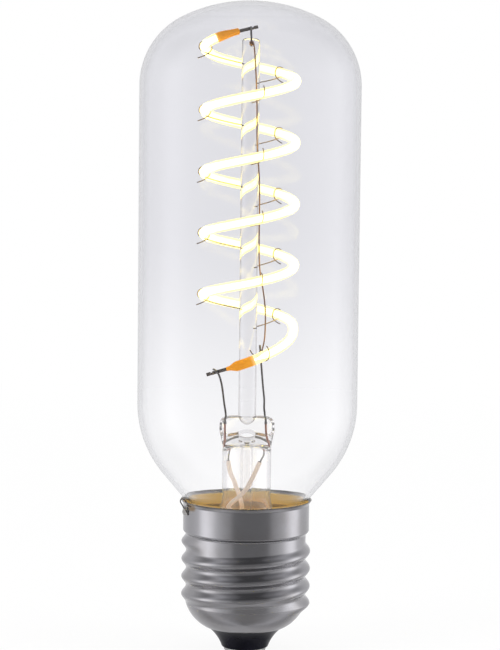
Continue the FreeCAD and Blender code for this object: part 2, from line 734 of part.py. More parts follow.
def lead_routes():
    """The routes of the two inner leads, then of the two sealed wires and the two outer leads."""
    top, weld, exit_at = size["press_top"], size["seal_weld"], size["stem_ceiling"] - 1.2
    foot, board = size["coil_start"], size["board_top"]
    left, right = -size["lead_spread"], 0.85 * size["lead_spread"]
    wall = size["flare_radius"] - size["flare_wall"] - 0.5
    pad = size["board_face"] - size["tail_radius"] - size["strip_gap"]
    return {
        "lead_inner_left": [
            Vector(-6.9, -6.35, foot - 8.3), Vector(-6.2, -6.95, foot - 8.4),
            Vector(-5.5, -7.05, foot - 9.8),
            Vector(-5.1, -5.2, foot - 11.8), Vector(-4.9, -3.3, top + 4.7),
            Vector(-4.65, -1.2, top + 2.3), Vector(left, 0, top + 0.2), Vector(left, 0, weld)],
        "lead_inner_right": [
            Vector(2.45, -0.6, foot - 3.9), Vector(2.6, -0.6, foot - 6.2),
            Vector(2.9, -0.4, foot - 9.4),
            Vector(3.15, -0.3, top + 6.1), Vector(3.5, -0.2, top + 3.2), Vector(3.4, -0.1, top + 1.7),
            Vector(right, 0, top + 0.2), Vector(right, 0, weld)],
        "seal_wire_left": [
            Vector(left, 0, weld), Vector(left, 0, weld - 1.5), Vector(-wall, 0, exit_at + 1.0),
            Vector(-wall, 0, exit_at)],
        "seal_wire_right": [
            Vector(right, 0, weld), Vector(right, 0, weld - 1.5), Vector(wall, 0, exit_at + 1.0),
            Vector(wall, 0, exit_at)],
        "lead_outer_left": [
            Vector(-wall, 0, exit_at), Vector(-wall, 0, exit_at - 0.8), Vector(-wall, -0.9, exit_at - 2.3),
            Vector(-3.4, -1.2, exit_at - 4.3), Vector(-2.35, -1.6, exit_at - 6.6),
            Vector(-1.3, -1.9, exit_at - 8.8), Vector(-0.75, -2.2, exit_at - 11.6),
            Vector(-0.5, -2.4, exit_at - 14.6), Vector(0.6, -2.2, board + 4.4),
            Vector(2.1, -1.2, board + 1.8), Vector(2.6, pad, board - 0.6), Vector(2.6, pad, board - 3.0)],
        "lead_outer_right": [
            Vector(wall, 0, exit_at), Vector(wall, 0, exit_at - 0.8), Vector(2.55, -1.6, exit_at - 2.5),
            Vector(1.55, -2.5, exit_at - 4.7), Vector(0.5, -3.05, exit_at - 6.8),
            Vector(-1.2, -3.2, exit_at - 8.8), Vector(-3.0, -2.85, exit_at - 10.5),
            Vector(-4.1, -2.6, exit_at - 12.4), Vector(-4.5, -2.3, board + 6.8),
            Vector(-4.1, -1.6, board + 3.6), Vector(-2.8, -0.5, board + 0.9),
            Vector(-2.6, pad, board - 1.0), Vector(-2.6, pad, board - 3.0)],
    }


def return_route():
    """The return wire climbs from the right lead beside the rod and ends at the post's foot."""
    top, foot, beside = size["rod_top"], size["coil_start"], size["rod_radius"] + 0.37
    return [around(-75, beside - 0.02, top - 1.2), around(-70, beside + 0.03, top - 2.6),
            around(-64, beside, top - 5.2), around(-51.5, beside, top - 12.2),
            around(-49.7, beside, top - 22.2), around(-27.8, beside, foot + 31.5),
            around(-18.4, beside + 0.04, foot + 25.0), around(-21.8, beside, foot + 18.0),
            around(-18, beside + 0.09, foot + 11.5), Vector(2.95, -0.8, foot + 7.6),
            Vector(3.5, -0.8, foot + 3.5), Vector(3.5, -0.8, foot - 0.5), Vector(3.35, -0.8, foot - 3.3),
            Vector(2.85, -0.65, foot - 5.1)]


def make_sleeve(label, route, low, high):
    """An insulating sleeve over the stretch of a lead between two heights."""
    cover = wire(route, size["sleeve_radius"], 0.5).cut(wire(route, size["sleeve_bore"], 0.5))
    reach = 2 * size["neck_radius"]
    stretch = Part.makeBox(reach, reach, high - low, Vector(-reach / 2, -reach / 2, low))
    return keep(shaped(label, cover.common(stretch)), label)


def hook_route(angle, foot, axis, strand, full, slack=0):
    """A support hook in the plane of its angle, for a strand at a distance and height: out under it, up
    round its outside and over it. A full hook goes on round the inside and out again below."""
    ring = size["strand_radius"] + size["hook_radius"] + size["hook_gap"] + slack
    across = around(angle + 90, 1, 0)
    rise = 1.3 * size["hook_radius"]
    way = [(size["rod_radius"] - size["hook_depth"], foot, 0), (axis + ring, strand - ring, 0),
           (axis + ring, strand + ring, 1)]
    if full:
        way += [(axis - ring, strand + ring, 2), (axis - ring, strand - ring, 3),
                (axis + 1.2 * ring, strand - 1.7 * ring, 4)]
    else:
        way += [(axis - 0.4 * ring, strand + 1.3 * ring, 2)]
    return [around(angle, radius, height) + across * (turn * rise) for radius, height, turn in way]


def make_hooks():
    """Rows of hooks that climb with the coil, and one more in front that holds the drooping tail."""
    rows = [("left", 180, 5, True), ("back", 48, 5, True), ("front", 285, 4, False)]
    hooks = []
    for word, angle, count, full in rows:
        foot = coil_height(angle) - size[f"{word}_hook_drop"]
        for number in range(count):
            climb = size["coil_pitch"] * number
            at_top = angle / 360 + number > size["coil_turns"] - 0.25
            strand = coil_height(angle) + climb + (size["top_lift"] if at_top else 0)
            slack = size["end_slack"] if at_top else 0
            route = hook_route(angle, foot + climb, size["coil_radius"], strand, full, slack)
            hooks.append(make_wire(f"hook_{word}_{number + 1}", route, "hook_radius"))
    tail = size["coil_radius"] - size["tail_reach"], size["coil_start"] - size["tail_droop"]
    tail_route = hook_route(-66, tail[1] + size["tail_hook_lift"], *tail, False, size["end_slack"])
    tail_route.insert(1, around(-66, 3.9, tail[1] - size["tail_elbow"]))
    hooks.append(make_wire("hook_tail", tail_route, "hook_radius"))
    return hooks


# Side contact: a wire folded over the cap's rim and soldered to the collar

def side_route():
    angle, board = size["side_angle"], size["board_top"]
    pad = size["board_face"] - size["side_wire_radius"] - size["strip_gap"]
    collar, rim, top = size["collar_radius"], size["rim_radius"], size["cap_top"]
    beside = size["neck_radius"] + size["neck_gap"] / 2
    places = [(collar - 4.4, top - 9.1), (collar - 1.7, top - 7.0), (beside, top - 5.7), (beside, top - 1.7),
              (beside + 0.2, top - 0.6), (rim - 0.1, top + 0.49), (rim + 0.55, top + 0.55),
              (rim + 0.75, top - 0.1), (rim + 0.05, top - 1.0), (collar + 0.2, top - 2.2)]
    start = [Vector(-5.4, pad, board - 4.0), Vector(-5.4, pad, board - 1.2)]
    return start + [around(angle, *place) for place in places]


def make_cement(side_wire):
    body = new_body("cement_ring")
    turned(body, "cement", [("neck_radius", "cement_low"), ("collar_radius - cap_sheet", "cement_low"),
                            ("collar_radius - cap_sheet", "cement_high"), ("neck_radius", "cement_high")])
    return keep(cut_with(body, [side_wire], "basing_cement"), "basing_cement")


def make_side_solder(side_wire):
    """A drop of solder on the outside of the collar, round the end of the side wire."""
    drop = Part.makeSphere(size["solder_height"])
    stretch = FreeCAD.Matrix()
    stretch.scale(size["solder_depth"] / size["solder_height"], size["solder_width"] / size["solder_height"], 1)
    drop = drop.transformGeometry(stretch)
    drop.rotate(Vector(), UP, size["side_angle"] + 1)
    drop.translate(around(size["side_angle"] + 1, size["collar_radius"], size["cap_top"] - 2))
    collar = Part.makeCylinder(size["collar_radius"], size["cap_top"])
    return keep(shaped("side_solder", drop.cut(collar).cut(side_wire.Shape)), "side_solder")


# Driver: a small board with its parts, standing on the insulator inside the cap

def make_block(label, width, depth, height, x, y, z):
    """A box by its three sizes and the place of its lower left front corner."""
    block = doc.addObject("Part::Box", label)
    bind(block, Length=width, Width=depth, Height=height)
    for axis, place in zip("xyz", (x, y, z)):
        block.setExpression(f"Placement.Base.{axis}", bound(place))
    return keep(block, label)


def make_driver():
    make_block("driver_board", "board_width", "board_thickness", "board_height",
               "0 - board_width / 2", "board_face", "insulator_top")
    make_block("bridge_rectifier", "rectifier_width", "rectifier_depth", "rectifier_height",
               "0 - rectifier_width - 1", "board_face - rectifier_depth", "insulator_top + 3")
    make_block("driver_chip", "chip_width", "chip_depth", "chip_height",
               "1.5", "board_face - chip_depth", "insulator_top + 2.5")
    back = size["board_face"] + size["board_thickness"]
    middle = size["insulator_top"] + size["board_height"] / 2
    can = doc.addObject("Part::Cylinder", "smoothing_capacitor")
    bind(can, Radius="capacitor_radius", Height="capacitor_length")
    can.Placement = FreeCAD.Placement(Vector(-2.8, back, middle), FreeCAD.Rotation(Vector(1, 0, 0), -90))
    keep(can, "smoothing_capacitor")
    resistor = doc.addObject("Part::Cylinder", "fuse_resistor")
    bind(resistor, Radius="resistor_radius", Height="resistor_length")
    resistor.Placement = FreeCAD.Placement(
        Vector(3.8, back + size["resistor_radius"], middle - size["resistor_length"] / 2), FreeCAD.Rotation())
    keep(resistor, "fuse_resistor")


# Put the bulb together

make_glass_envelope()
make_cap_shell()
make_insulator()
make_centre_contact()
contact_wire = make_contact_wire()
make_contact_solder(contact_wire)

make_filament()
route = coil_route()
make_strip("filament_terminal_bottom", route[0], route[1])
make_strip("filament_terminal_top", route[-1], route[-2])
post = make_wire("top_post", post_route(), "post_radius")
hooks = make_hooks()
keep(cut_with(make_rod_glass(), hooks + [post], "centre_rod"), "centre_rod")

leads = lead_routes()
sides = ("left", "right")
inner_leads = [make_wire(f"lead_inner_{side}", leads[f"lead_inner_{side}"], "lead_radius") for side in sides]
seals = [make_wire(f"seal_wire_{side}", leads[f"seal_wire_{side}"], "seal_radius") for side in sides]
for side in sides:
    make_wire(f"lead_outer_{side}", leads[f"lead_outer_{side}"], "tail_radius")
    make_sleeve(f"sleeve_{side}", leads[f"lead_outer_{side}"], size["sleeve_low"], size["sleeve_high"])
make_wire("return_wire", return_route(), "return_radius")
keep(cut_with(make_stem_glass(), inner_leads + seals, "stem_flare"), "stem_flare")
make_exhaust_tube()

side_wire = make_wire("side_wire", side_route(), "side_wire_radius")
make_cement(side_wire)
make_side_solder(side_wire)
make_driver()
doc.recompute()

# Check every object, then write each piece to its own file
for item in doc.Objects:
    if "Invalid" in item.State or "Error" in item.State:
        raise RuntimeError(f"{item.Label} failed: {item.State}")
os.makedirs("parts", exist_ok=True)
for node in nodes:
    shape = node.Shape
    if shape.isNull() or not shape.isValid():
        raise RuntimeError(f"{node.Label} has no valid shape")
    print(f"{node.Label}: {len(shape.Solids)} solid, {shape.Volume:.2f} mm3")
for node in nodes:
    node.Shape.exportStep(f"parts/{node.Label}.step")
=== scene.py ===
# %% [markdown]
# # A tubular light bulb with a spiral filament
#
# The bulb is a blown glass tube on a screw cap. Inside it a glowing strand winds round a glass rod, held
# by thin wire hooks, and the rod stands on a glass stem that also carries the two current leads. The
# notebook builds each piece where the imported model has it, so nothing has to be fitted by eye.

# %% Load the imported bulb
import bpy
import bmesh
import math
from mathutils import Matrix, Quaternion, Vector


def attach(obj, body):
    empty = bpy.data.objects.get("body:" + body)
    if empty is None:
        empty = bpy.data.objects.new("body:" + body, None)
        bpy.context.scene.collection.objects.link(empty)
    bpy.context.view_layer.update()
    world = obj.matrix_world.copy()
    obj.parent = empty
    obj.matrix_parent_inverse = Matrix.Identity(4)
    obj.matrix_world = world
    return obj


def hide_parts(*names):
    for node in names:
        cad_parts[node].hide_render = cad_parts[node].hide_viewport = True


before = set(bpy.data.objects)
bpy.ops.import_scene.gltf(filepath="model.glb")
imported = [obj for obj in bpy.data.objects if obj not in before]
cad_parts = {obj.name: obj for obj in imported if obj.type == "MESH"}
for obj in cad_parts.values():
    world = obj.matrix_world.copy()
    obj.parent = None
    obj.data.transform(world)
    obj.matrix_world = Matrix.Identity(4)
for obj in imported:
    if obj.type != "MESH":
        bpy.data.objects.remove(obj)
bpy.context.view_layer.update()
scene = bpy.context.scene
print("pieces in the packed model:", len(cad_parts))

# %% [markdown]
# ## Sizes
#
# The numbers are those of the CAD model, in millimetres, and MM turns them into Blender's metres. Naming
# them once keeps the cap, the glass and the stem in step with each other.

# %% Sizes of the bulb in millimetres
MM = 0.001
GLASS_RADIUS, GLASS_TOP, GLASS_WALL = 22.4, 132.6, 0.9
NECK_RADIUS, NECK_END, NECK_BEND = 11.9, 27.2, 3.0
WAIST_BEND, WAIST_TOP, WAIST_SLOPE = 22.0, 51.0, 40.0
SHOULDER_BEND, CROWN_BEND = 15.5, 31.0
CAP_TOP, CAP_SHEET = 31.4, 0.3
COLLAR_RADIUS, COLLAR_END = 12.9, 24.9
RIM_RADIUS, RIM_HEIGHT = 13.4, 0.8
ROOT_RADIUS, CREST_RADIUS = 12.25, 13.2
THREAD_PITCH, THREAD_TURNS, THREAD_START = 3.629, 3.5, 9.9
SKIRT_RADIUS, SKIRT_TOP, SKIRT_BEND = 12.1, 9.4, 8.0
SKIRT_END_RADIUS, SKIRT_END = 8.4, 5.2
INSULATOR_BORE, INSULATOR_FOOT, INSULATOR_TOP, INSULATOR_BEND = 0.6, 0.72, 7.55, 9.0
CONTACT_RADIUS, CONTACT_HOLE, CONTACT_TOP = 4.3, 1.65, 0.68
COIL_RADIUS, COIL_PITCH, COIL_START, COIL_TURNS = 9.15, 12.4, 67.0, 4.5
STRAND_RADIUS = 0.975
ROD_RADIUS, ROD_FOOT, ROD_TOP = 1.8, 46.6, 125.2
STEM_RADIUS, STEM_BORE, STEM_END, PRESS_TOP = 5.0, 4.2, 26.35, 48.5
LEFT_SEAL, RIGHT_SEAL = (-4.3, 0, 46.9), (3.655, 0, 46.9)

# %% [markdown]
# ## Node trees
#
# World, finishes and geometry are all node trees, so one small helper writes them all. Each of its calls
# adds a node, fills the inputs with other nodes' outputs or with plain values, and gives the output back.
# A tree then reads like a formula.

# %% Helper for node trees
class Tree:
    """A node tree that is written as calls."""

    def __init__(self, tree):
        self.nodes, self.links = tree.nodes, tree.links

    def fill(self, socket, value):
        """Link an input to an output, or give it a plain value. A colour is written without its alpha."""
        if isinstance(value, bpy.types.NodeSocket):
            self.links.new(value, socket)
        elif socket.type == "RGBA":
            socket.default_value = (*value, 1)
        else:
            socket.default_value = value

    def fill_named(self, node, **values):
        for label, value in values.items():
            self.fill(node.inputs[label.replace("_", " ")], value)

    def node(self, kind, inputs=(), **settings):
        """A new node with its settings, and with its inputs by name or number."""
        node = self.nodes.new(kind)
        for name, value in settings.items():
            setattr(node, name, value)
        for key, value in dict(inputs).items():
            self.fill(node.inputs[key], value)
        return node

    def use(self, group, **values):
        """The outputs of a node group with its inputs filled."""
        node = self.node("ShaderNodeGroup", node_tree=group)
        self.fill_named(node, **values)
        return node.outputs

    def math(self, operation, *values, **settings):
        return self.node("ShaderNodeMath", enumerate(values), operation=operation, **settings).outputs[0]

    def vector(self, operation, *values, **named):
        node = self.node("ShaderNodeVectorMath", enumerate(values), operation=operation)
        self.fill_named(node, **named)
        return node.outputs["Value" if operation in ("DOT_PRODUCT", "LENGTH") else "Vector"]

    def span(self, value, low, high, to_low=0.0, to_high=1.0, kind="LINEAR"):
        """Where a value lies between two levels, from 0 to 1 or between two other numbers."""
        inputs = {"Value": value, "From Min": low, "From Max": high, "To Min": to_low, "To Max": to_high}
        return self.node("ShaderNodeMapRange", inputs, interpolation_type=kind).outputs[0]

    def blend(self, share, first, second, kind="MIX"):
        """The first colour with a share of the second."""
        inputs = {0: share, 6: first, 7: second}
        return self.node("ShaderNodeMix", inputs, data_type="RGBA", blend_type=kind).outputs[2]

    def ramp(self, value, stops, kind="LINEAR"):
        """A colour by a value, from at least two stops of a place and a colour."""
        node = self.node("ShaderNodeValToRGB", {0: value})
        node.color_ramp.interpolation = kind
        elements = node.color_ramp.elements
        for number, (place, colour) in enumerate(stops):
            stop = elements[number] if number < 2 else elements.new(place)
            stop.position = place
            stop.color = (*colour, 1)
        return node.outputs[0]

    def place(self):
        return self.node("ShaderNodeTexCoord").outputs["Object"]

    def split(self, vector):
        return self.node("ShaderNodeSeparateXYZ", {0: vector}).outputs

    def mapped(self, vector, **values):
        node = self.node("ShaderNodeMapping", {"Vector": vector})
        self.fill_named(node, **values)
        return node.outputs[0]

    def noise(self, vector, scale, detail=2.0):
        inputs = {"Vector": vector, "Scale": scale, "Detail": detail}
        return self.node("ShaderNodeTexNoise", inputs).outputs["Fac"]

    def bump(self, height, strength, distance):
        inputs = {"Height": height, "Strength": strength, "Distance": distance}
        return self.node("ShaderNodeBump", inputs).outputs[0]

    def choose(self, share, first, second):
        """One shader or the other, by a share of the second."""
        return self.node("ShaderNodeMixShader", {0: share, 1: first, 2: second}).outputs[0]


# %% [markdown]
# ## Camera
#
# The photograph was taken from about half a metre, slightly above the middle of the bulb. A long lens
# keeps the tube's sides almost parallel, and the small roll gives the bulb the lean it has there.

# %% Camera
DISTANCE, PITCH, ROLL = 520.0, 5.5, 0.6
SENSOR_WIDTH, PICTURE_HEIGHT, LENS_IN_PIXELS = 36, 650, 2557
aim = Vector((0.39, 0, 67.08)) * MM
back = Vector((0, -math.cos(math.radians(PITCH)), math.sin(math.radians(PITCH))))
camera = bpy.data.objects.new("camera", bpy.data.cameras.new("camera"))
scene.collection.objects.link(camera)
camera.location = aim + back * DISTANCE * MM
camera.rotation_mode = "QUATERNION"
camera.rotation_quaternion = (-back).to_track_quat("-Z", "Y") @ Quaternion((0, 0, 1), math.radians(ROLL))
camera.data.sensor_width = SENSOR_WIDTH
camera.data.lens = LENS_IN_PIXELS * SENSOR_WIDTH / PICTURE_HEIGHT
camera.data.clip_start = 0.01
scene.camera = camera
print("camera height in mm:", round(camera.location.z / MM, 1))

# %% [markdown]
# ## Studio
#
# Clear glass shows whatever stands behind it, so the background is half of its look. Rays that come
# straight from the camera, through glass or not, meet plain white. Rays that metal or glass has mirrored
# meet a studio instead: a tall soft light on each side, a pale wall behind the bulb, and in front the dim
# place where the camera stands. Scattered rays meet one plain level, so that colours look as written.

# %% World
STUDIO_TURN, STUDIO_STRENGTH, SCATTERED_LEVEL = math.radians(-10), 2.2, 0.55
WALL_LEVELS = [(0.0, 0.12), (0.17, 0.12), (0.22, 0.24), (0.36, 0.40), (0.45, 0.84), (0.53, 0.84),
               (0.60, 0.40), (0.78, 0.34), (1.0, 0.38)]
scene.view_settings.view_transform = "Standard"
world = bpy.data.worlds.new("light_tent")
world.use_nodes = True
scene.world = world
world.node_tree.nodes.clear()


def make_studio(tree):
    """Grey by the angle round the bulb: 0 is towards the camera, 0.5 to either side and 1 behind.

    Ceiling and floor are darker than the walls, except behind the bulb.
    """
    direction = tree.node("ShaderNodeTexCoord").outputs["Generated"]
    x, y, z = tree.split(tree.mapped(direction, Rotation=(0, 0, STUDIO_TURN)))
    angle = tree.math("ARCTAN2", x, tree.math("MULTIPLY", y, -1))
    share = tree.math("DIVIDE", tree.math("ABSOLUTE", angle), math.pi)
    greys = [(place, (level, level, 1.02 * level)) for place, level in WALL_LEVELS]
    walls = tree.ramp(share, greys, "B_SPLINE")
    not_behind = tree.span(share, 0.82, 0.62, kind="SMOOTHSTEP")
    steep = tree.span(tree.math("ABSOLUTE", z), 0.18, 0.72, to_high=not_behind, kind="SMOOTHSTEP")
    grey = tree.blend(steep, walls, (0.38, 0.38, 0.39), "MULTIPLY")
    return tree.node("ShaderNodeBackground", {"Color": grey, "Strength": STUDIO_STRENGTH}).outputs[0]


def straight_view(tree):
    """A mask of 1 for rays that come straight from the camera, through glass or not, and 0 for others."""
    path = tree.node("ShaderNodeLightPath").outputs
    seen = tree.math("MAXIMUM", path["Is Camera Ray"], path["Is Transmission Ray"])
    turned_off = tree.math("ADD", path["Glossy Depth"], path["Diffuse Depth"])
    return tree.math("SUBTRACT", seen, turned_off, use_clamp=True)


def fill_world(tree):
    path = tree.node("ShaderNodeLightPath").outputs
    sharp = tree.math("MAXIMUM", path["Is Glossy Ray"], path["Is Transmission Ray"])
    scattered = tree.node("ShaderNodeBackground", {"Color": [SCATTERED_LEVEL] * 3}).outputs[0]
    white = tree.node("ShaderNodeBackground", {"Color": (1, 1, 1)}).outputs[0]
    around_bulb = tree.choose(sharp, scattered, make_studio(tree))
    sky = tree.choose(straight_view(tree), around_bulb, white)
    tree.node("ShaderNodeOutputWorld", {"Surface": sky})


fill_world(Tree(world.node_tree))
print("nodes in the world:", len(world.node_tree.nodes))

# %% Lamps: a soft box on each side and one above, which neither metal nor glass mirrors
LAMP_AIM = Vector((0, 0, 0.07))


def soft_box(name, place, size, watts):
    light = bpy.data.lights.new(name, "AREA")
    light.shape = "RECTANGLE"
    light.size, light.size_y = size
    light.energy = watts
    lamp = bpy.data.objects.new(name, light)
    lamp.location = place
    lamp.rotation_euler = (LAMP_AIM - Vector(place)).to_track_quat("-Z", "Y").to_euler()
    lamp.visible_glossy = False
    lamp.visible_transmission = False
    scene.collection.objects.link(lamp)


soft_box("left_box", (-0.55, -0.35, 0.32), (0.22, 0.5), 2.2)
soft_box("right_box", (0.6, -0.2, 0.26), (0.25, 0.5), 2.0)
soft_box("top_box", (0.0, 0.1, 0.75), (0.5, 0.5), 2.0)
print("lamps:", len(bpy.data.lights))

# %% [markdown]
# ## Materials
#
# Each finish is a small set of shader nodes. One helper makes the material and its Principled shader, and
# two node groups hold what several finishes share: the clouded surface of handled metal, and the faint
# waves that blown or drawn glass keeps.

# %% Helpers for materials
SOCKETS = {"number": "NodeSocketFloat", "colour": "NodeSocketColor", "vector": "NodeSocketVector"}


def finish(name, colour, metallic=0.0, roughness=0.5, **plain):
    """A new material, its tree, and its Principled shader with the plain values set."""
    material = bpy.data.materials.new(name)
    material.use_nodes = True
    tree = Tree(material.node_tree)
    shader = tree.nodes["Principled BSDF"]
    tree.fill_named(shader, Base_Color=colour, Metallic=metallic, Roughness=roughness, **plain)
    return material, tree, shader


def effect(name, inputs, outputs):
    """An empty group of shader nodes: the group, its tree, its given inputs and its output node."""
    group = bpy.data.node_groups.new(name, "ShaderNodeTree")
    for label, (kind, value) in inputs.items():
        socket = group.interface.new_socket(label, in_out="INPUT", socket_type=SOCKETS[kind])
        socket.default_value = value
    for label, kind in outputs.items():
        group.interface.new_socket(label, in_out="OUTPUT", socket_type=SOCKETS[kind])
    tree = Tree(group)
    return group, tree, tree.node("NodeGroupInput").outputs, tree.node("NodeGroupOutput")


def away_from_axis(tree):
    """How much a surface faces away from the bulb's axis, in metres, and below 0 where it faces it."""
    flat = tree.vector("MULTIPLY", tree.place(), (1, 1, 0))
    normal = tree.node("ShaderNodeNewGeometry").outputs["Normal"]
    return tree.vector("DOT_PRODUCT", flat, normal)


# %% Shared effect: clouded metal
def make_clouded():
    """Colour and roughness that drift in clouds, with fine drawing lines up the axis."""
    group, tree, given, result = effect(
        "clouded_metal",
        {"Colour": ("colour", (0.6, 0.6, 0.6, 1)), "Stain": ("colour", (0.4, 0.33, 0.25, 1)),
         "Stain Share": ("number", 0.2), "Roughness": ("number", 0.3), "Spread": ("number", 0.12),
         "Scale": ("number", 220.0)},
        {"Colour": "colour", "Roughness": "number", "Height": "number"})
    place = tree.place()
    clouds = tree.noise(place, given["Scale"], 6)
    amount = tree.math("MULTIPLY", tree.span(clouds, 0.45, 0.75), given["Stain Share"])
    colour = tree.blend(amount, given["Colour"], given["Stain"])
    rough = tree.math("MULTIPLY_ADD", clouds, given["Spread"], given["Roughness"])
    grain = tree.noise(tree.mapped(place, Scale=(1, 1, 0.06)), 2600)
    tree.fill_named(result, Colour=colour, Roughness=rough, Height=grain)
    return group


clouded = make_clouded()
print("nodes in the clouded effect:", len(clouded.nodes))


def metal(name, colour, stain, share, roughness, scale=220.0, bump=0.02, spread=0.12):
    """A metal with the clouded effect and a fine drawn grain."""
    material, tree, shader = finish(name, colour, metallic=1.0, roughness=roughness)
    cloud = tree.use(clouded, Colour=colour, Stain=stain, Stain_Share=share,
                     Roughness=roughness - spread / 2, Spread=spread, Scale=scale)
    relief = tree.bump(cloud["Height"], bump, 0.2 * MM)
    tree.fill_named(shader, Base_Color=cloud["Colour"], Roughness=cloud["Roughness"], Normal=relief)
    return material


# %% Shared effect: waves in worked glass
def make_waves():
    """A slow swell of the surface, longer along the axis than round it."""
    group, tree, given, result = effect(
        "glass_waves", {"Scale": ("number", 30.0), "Draw": ("vector", (1, 1, 0.4))}, {"Height": "number"})
    drawn = tree.vector("MULTIPLY", tree.place(), given["Draw"])
    tree.fill_named(result, Height=tree.noise(drawn, given["Scale"], 1))
    return group


waves = make_waves()
print("nodes in the glass waves:", len(waves.nodes))


def clear(name, colour, edge, ior, scale, strength, spread, low=None, haze=(0, 0, 0), mirror=1.0):
    """Clear glass with faint waves of a scale and strength, and an edge tint that begins at spread.

    low gives another tint lower down: the height in mm where it begins, the height where it is full, its
    colour and its edge. The edge tint is painted shade at the glass's rim, and low is painted light. haze is
    a weak glow in place of a room's light, and mirror weakens reflections.
    """
    material, tree, shader = finish(
        name, colour, roughness=0.0, Transmission_Weight=1.0, IOR=ior, Specular_Tint=[mirror] * 3,
        Emission_Color=haze, Emission_Strength=1.0)
    if low:
        begins, full, low_colour, low_edge = low
        height = tree.split(tree.place())["Z"]
        below = tree.span(height, begins * MM, full * MM, kind="SMOOTHSTEP")
        colour, edge = tree.blend(below, colour, low_colour), tree.blend(below, edge, low_edge)
    facing = tree.node("ShaderNodeLayerWeight").outputs["Facing"]
    limb = tree.span(facing, spread, 1.0, kind="SMOOTHSTEP")
    relief = tree.bump(tree.use(waves, Scale=scale)["Height"], strength, 1 * MM)
    tree.fill_named(shader, Base_Color=tree.blend(limb, colour, edge), Normal=relief)
    return material


# %% Glass and metals of the bulb
# The edge colours are painted shade at each glass's rim. The blown glass's low tint is painted light,
# lighter lower down; the stem glass's low tint is a painted golden reflection of the cap's inside.
blown_glass = clear("blown_glass", (0.850, 0.850, 0.872), (0.76, 0.76, 0.77), 1.47, 28, 0.006, 0.6,
                    low=(92, 30, (0.975, 0.975, 0.98), (0.96, 0.96, 0.965)), haze=(0.011, 0.011, 0.011),
                    mirror=0.2)
rod_glass = clear("drawn_rod_glass", (0.955, 0.95, 0.955), (0.42, 0.36, 0.33), 1.5, 160, 0.04, 0.3)
stem_glass = clear("pressed_stem_glass", (0.97, 0.965, 0.965), (0.70, 0.68, 0.68), 1.5, 160, 0.05, 0.5,
                   low=(33, 30.5, (0.88, 0.72, 0.47), (0.60, 0.46, 0.28)), haze=(0.030, 0.029, 0.027))
nickel = metal("satin_nickel", (0.56, 0.55, 0.54), (0.36, 0.33, 0.28), 0.35, 0.27)
lead_metal = metal("dark_drawn_wire", (0.22, 0.21, 0.20), (0.12, 0.11, 0.10), 0.6, 0.42, scale=900)
hook_metal = metal("hook_wire", (0.30, 0.235, 0.20), (0.18, 0.145, 0.125), 0.6, 0.5, scale=900)
copper = metal("copper_wire", (0.36, 0.22, 0.155), (0.17, 0.12, 0.095), 0.6, 0.42, scale=900)
dumet = metal("copper_clad_wire", (0.50, 0.25, 0.18), (0.33, 0.16, 0.12), 0.5, 0.36, scale=900)
strip_metal = metal("stamped_strip", (0.15, 0.125, 0.105), (0.10, 0.08, 0.07), 0.5, 0.45, scale=700)
tin = metal("dull_tin", (0.42, 0.41, 0.40), (0.20, 0.17, 0.13), 0.7, 0.38, scale=1200, bump=0.3)
print("materials so far:", len(bpy.data.materials))

# %% [markdown]
# ## The cap's sheet metal
#
# The cap is drawn from thin brass and nickel plated. Its outside is satin grey with a smear of flux by
# the side contact; its inside, seen through the glass neck, is golden brass with a painted glow added.
# One material does both: the surface's normal points away from the axis outside and towards it inside.

# %% Cap metal with a golden inside
# GOLD is the brass of the cap's inside; the third colour is painted light, a glow given to the inside though
# no lamp lights it
PLATE, GOLD, GOLD_PAINTED_GLOW = (0.37, 0.365, 0.38), (0.68, 0.44, 0.11), (0.30, 0.185, 0.035)
FLUX, CUT_EDGE = (0.24, 0.15, 0.055), (0.13, 0.105, 0.075)
SMEAR_PLACE, SMEAR_SQUASH = Vector((-11.1, -6.5, 30.6)), 2.2


def flux_smear(tree, place):
    """A mask for a ragged smear of flux, flattened by its squash."""
    squash = Vector((1, 1, SMEAR_SQUASH))
    distance = tree.vector("LENGTH", tree.mapped(place, Location=-SMEAR_PLACE * squash * MM, Scale=squash))
    ragged = tree.math("MULTIPLY_ADD", tree.noise(place, 1100), -2.2 * MM, distance)
    return tree.span(ragged, 1.2 * MM, 0.2 * MM, to_high=0.8)


def make_cap_metal():
    material, tree, shader = finish("cap_sheet_metal", PLATE, metallic=1.0, roughness=0.3)
    cloud = tree.use(clouded, Colour=PLATE, Stain=(0.26, 0.24, 0.225), Stain_Share=0.4, Roughness=0.11,
                     Spread=0.10, Scale=170.0)
    place = tree.place()
    height = tree.split(place)["Z"]
    towards_axis = tree.span(away_from_axis(tree), -2 * MM, -6 * MM)
    edge_foot = CAP_TOP - 0.45
    inside = tree.span(height, edge_foot * MM, (edge_foot - 0.3) * MM, to_high=towards_axis)
    cut = tree.span(height, edge_foot * MM, (edge_foot + 0.3) * MM, to_high=0.75)
    colour = tree.blend(inside, cloud["Colour"], GOLD)
    colour = tree.blend(flux_smear(tree, place), colour, FLUX)
    turned_lines = tree.noise(tree.mapped(place, Scale=(0.02, 0.02, 1)), 3000)
    tree.fill_named(
        shader,
        Base_Color=tree.blend(cut, colour, CUT_EDGE),
        Roughness=tree.math("MULTIPLY_ADD", inside, 0.3, cloud["Roughness"]),
        Metallic=tree.math("MULTIPLY_ADD", inside, -0.75, 1.0),
        # painted light: the inside glows golden brown by this emission
        Emission_Color=tree.blend(inside, (0, 0, 0), GOLD_PAINTED_GLOW),
        Emission_Strength=1.0,
        Normal=tree.bump(turned_lines, 0.05, 0.1 * MM))
    return material


cap_metal = make_cap_metal()
print("cap metal nodes:", len(cap_metal.node_tree.nodes))
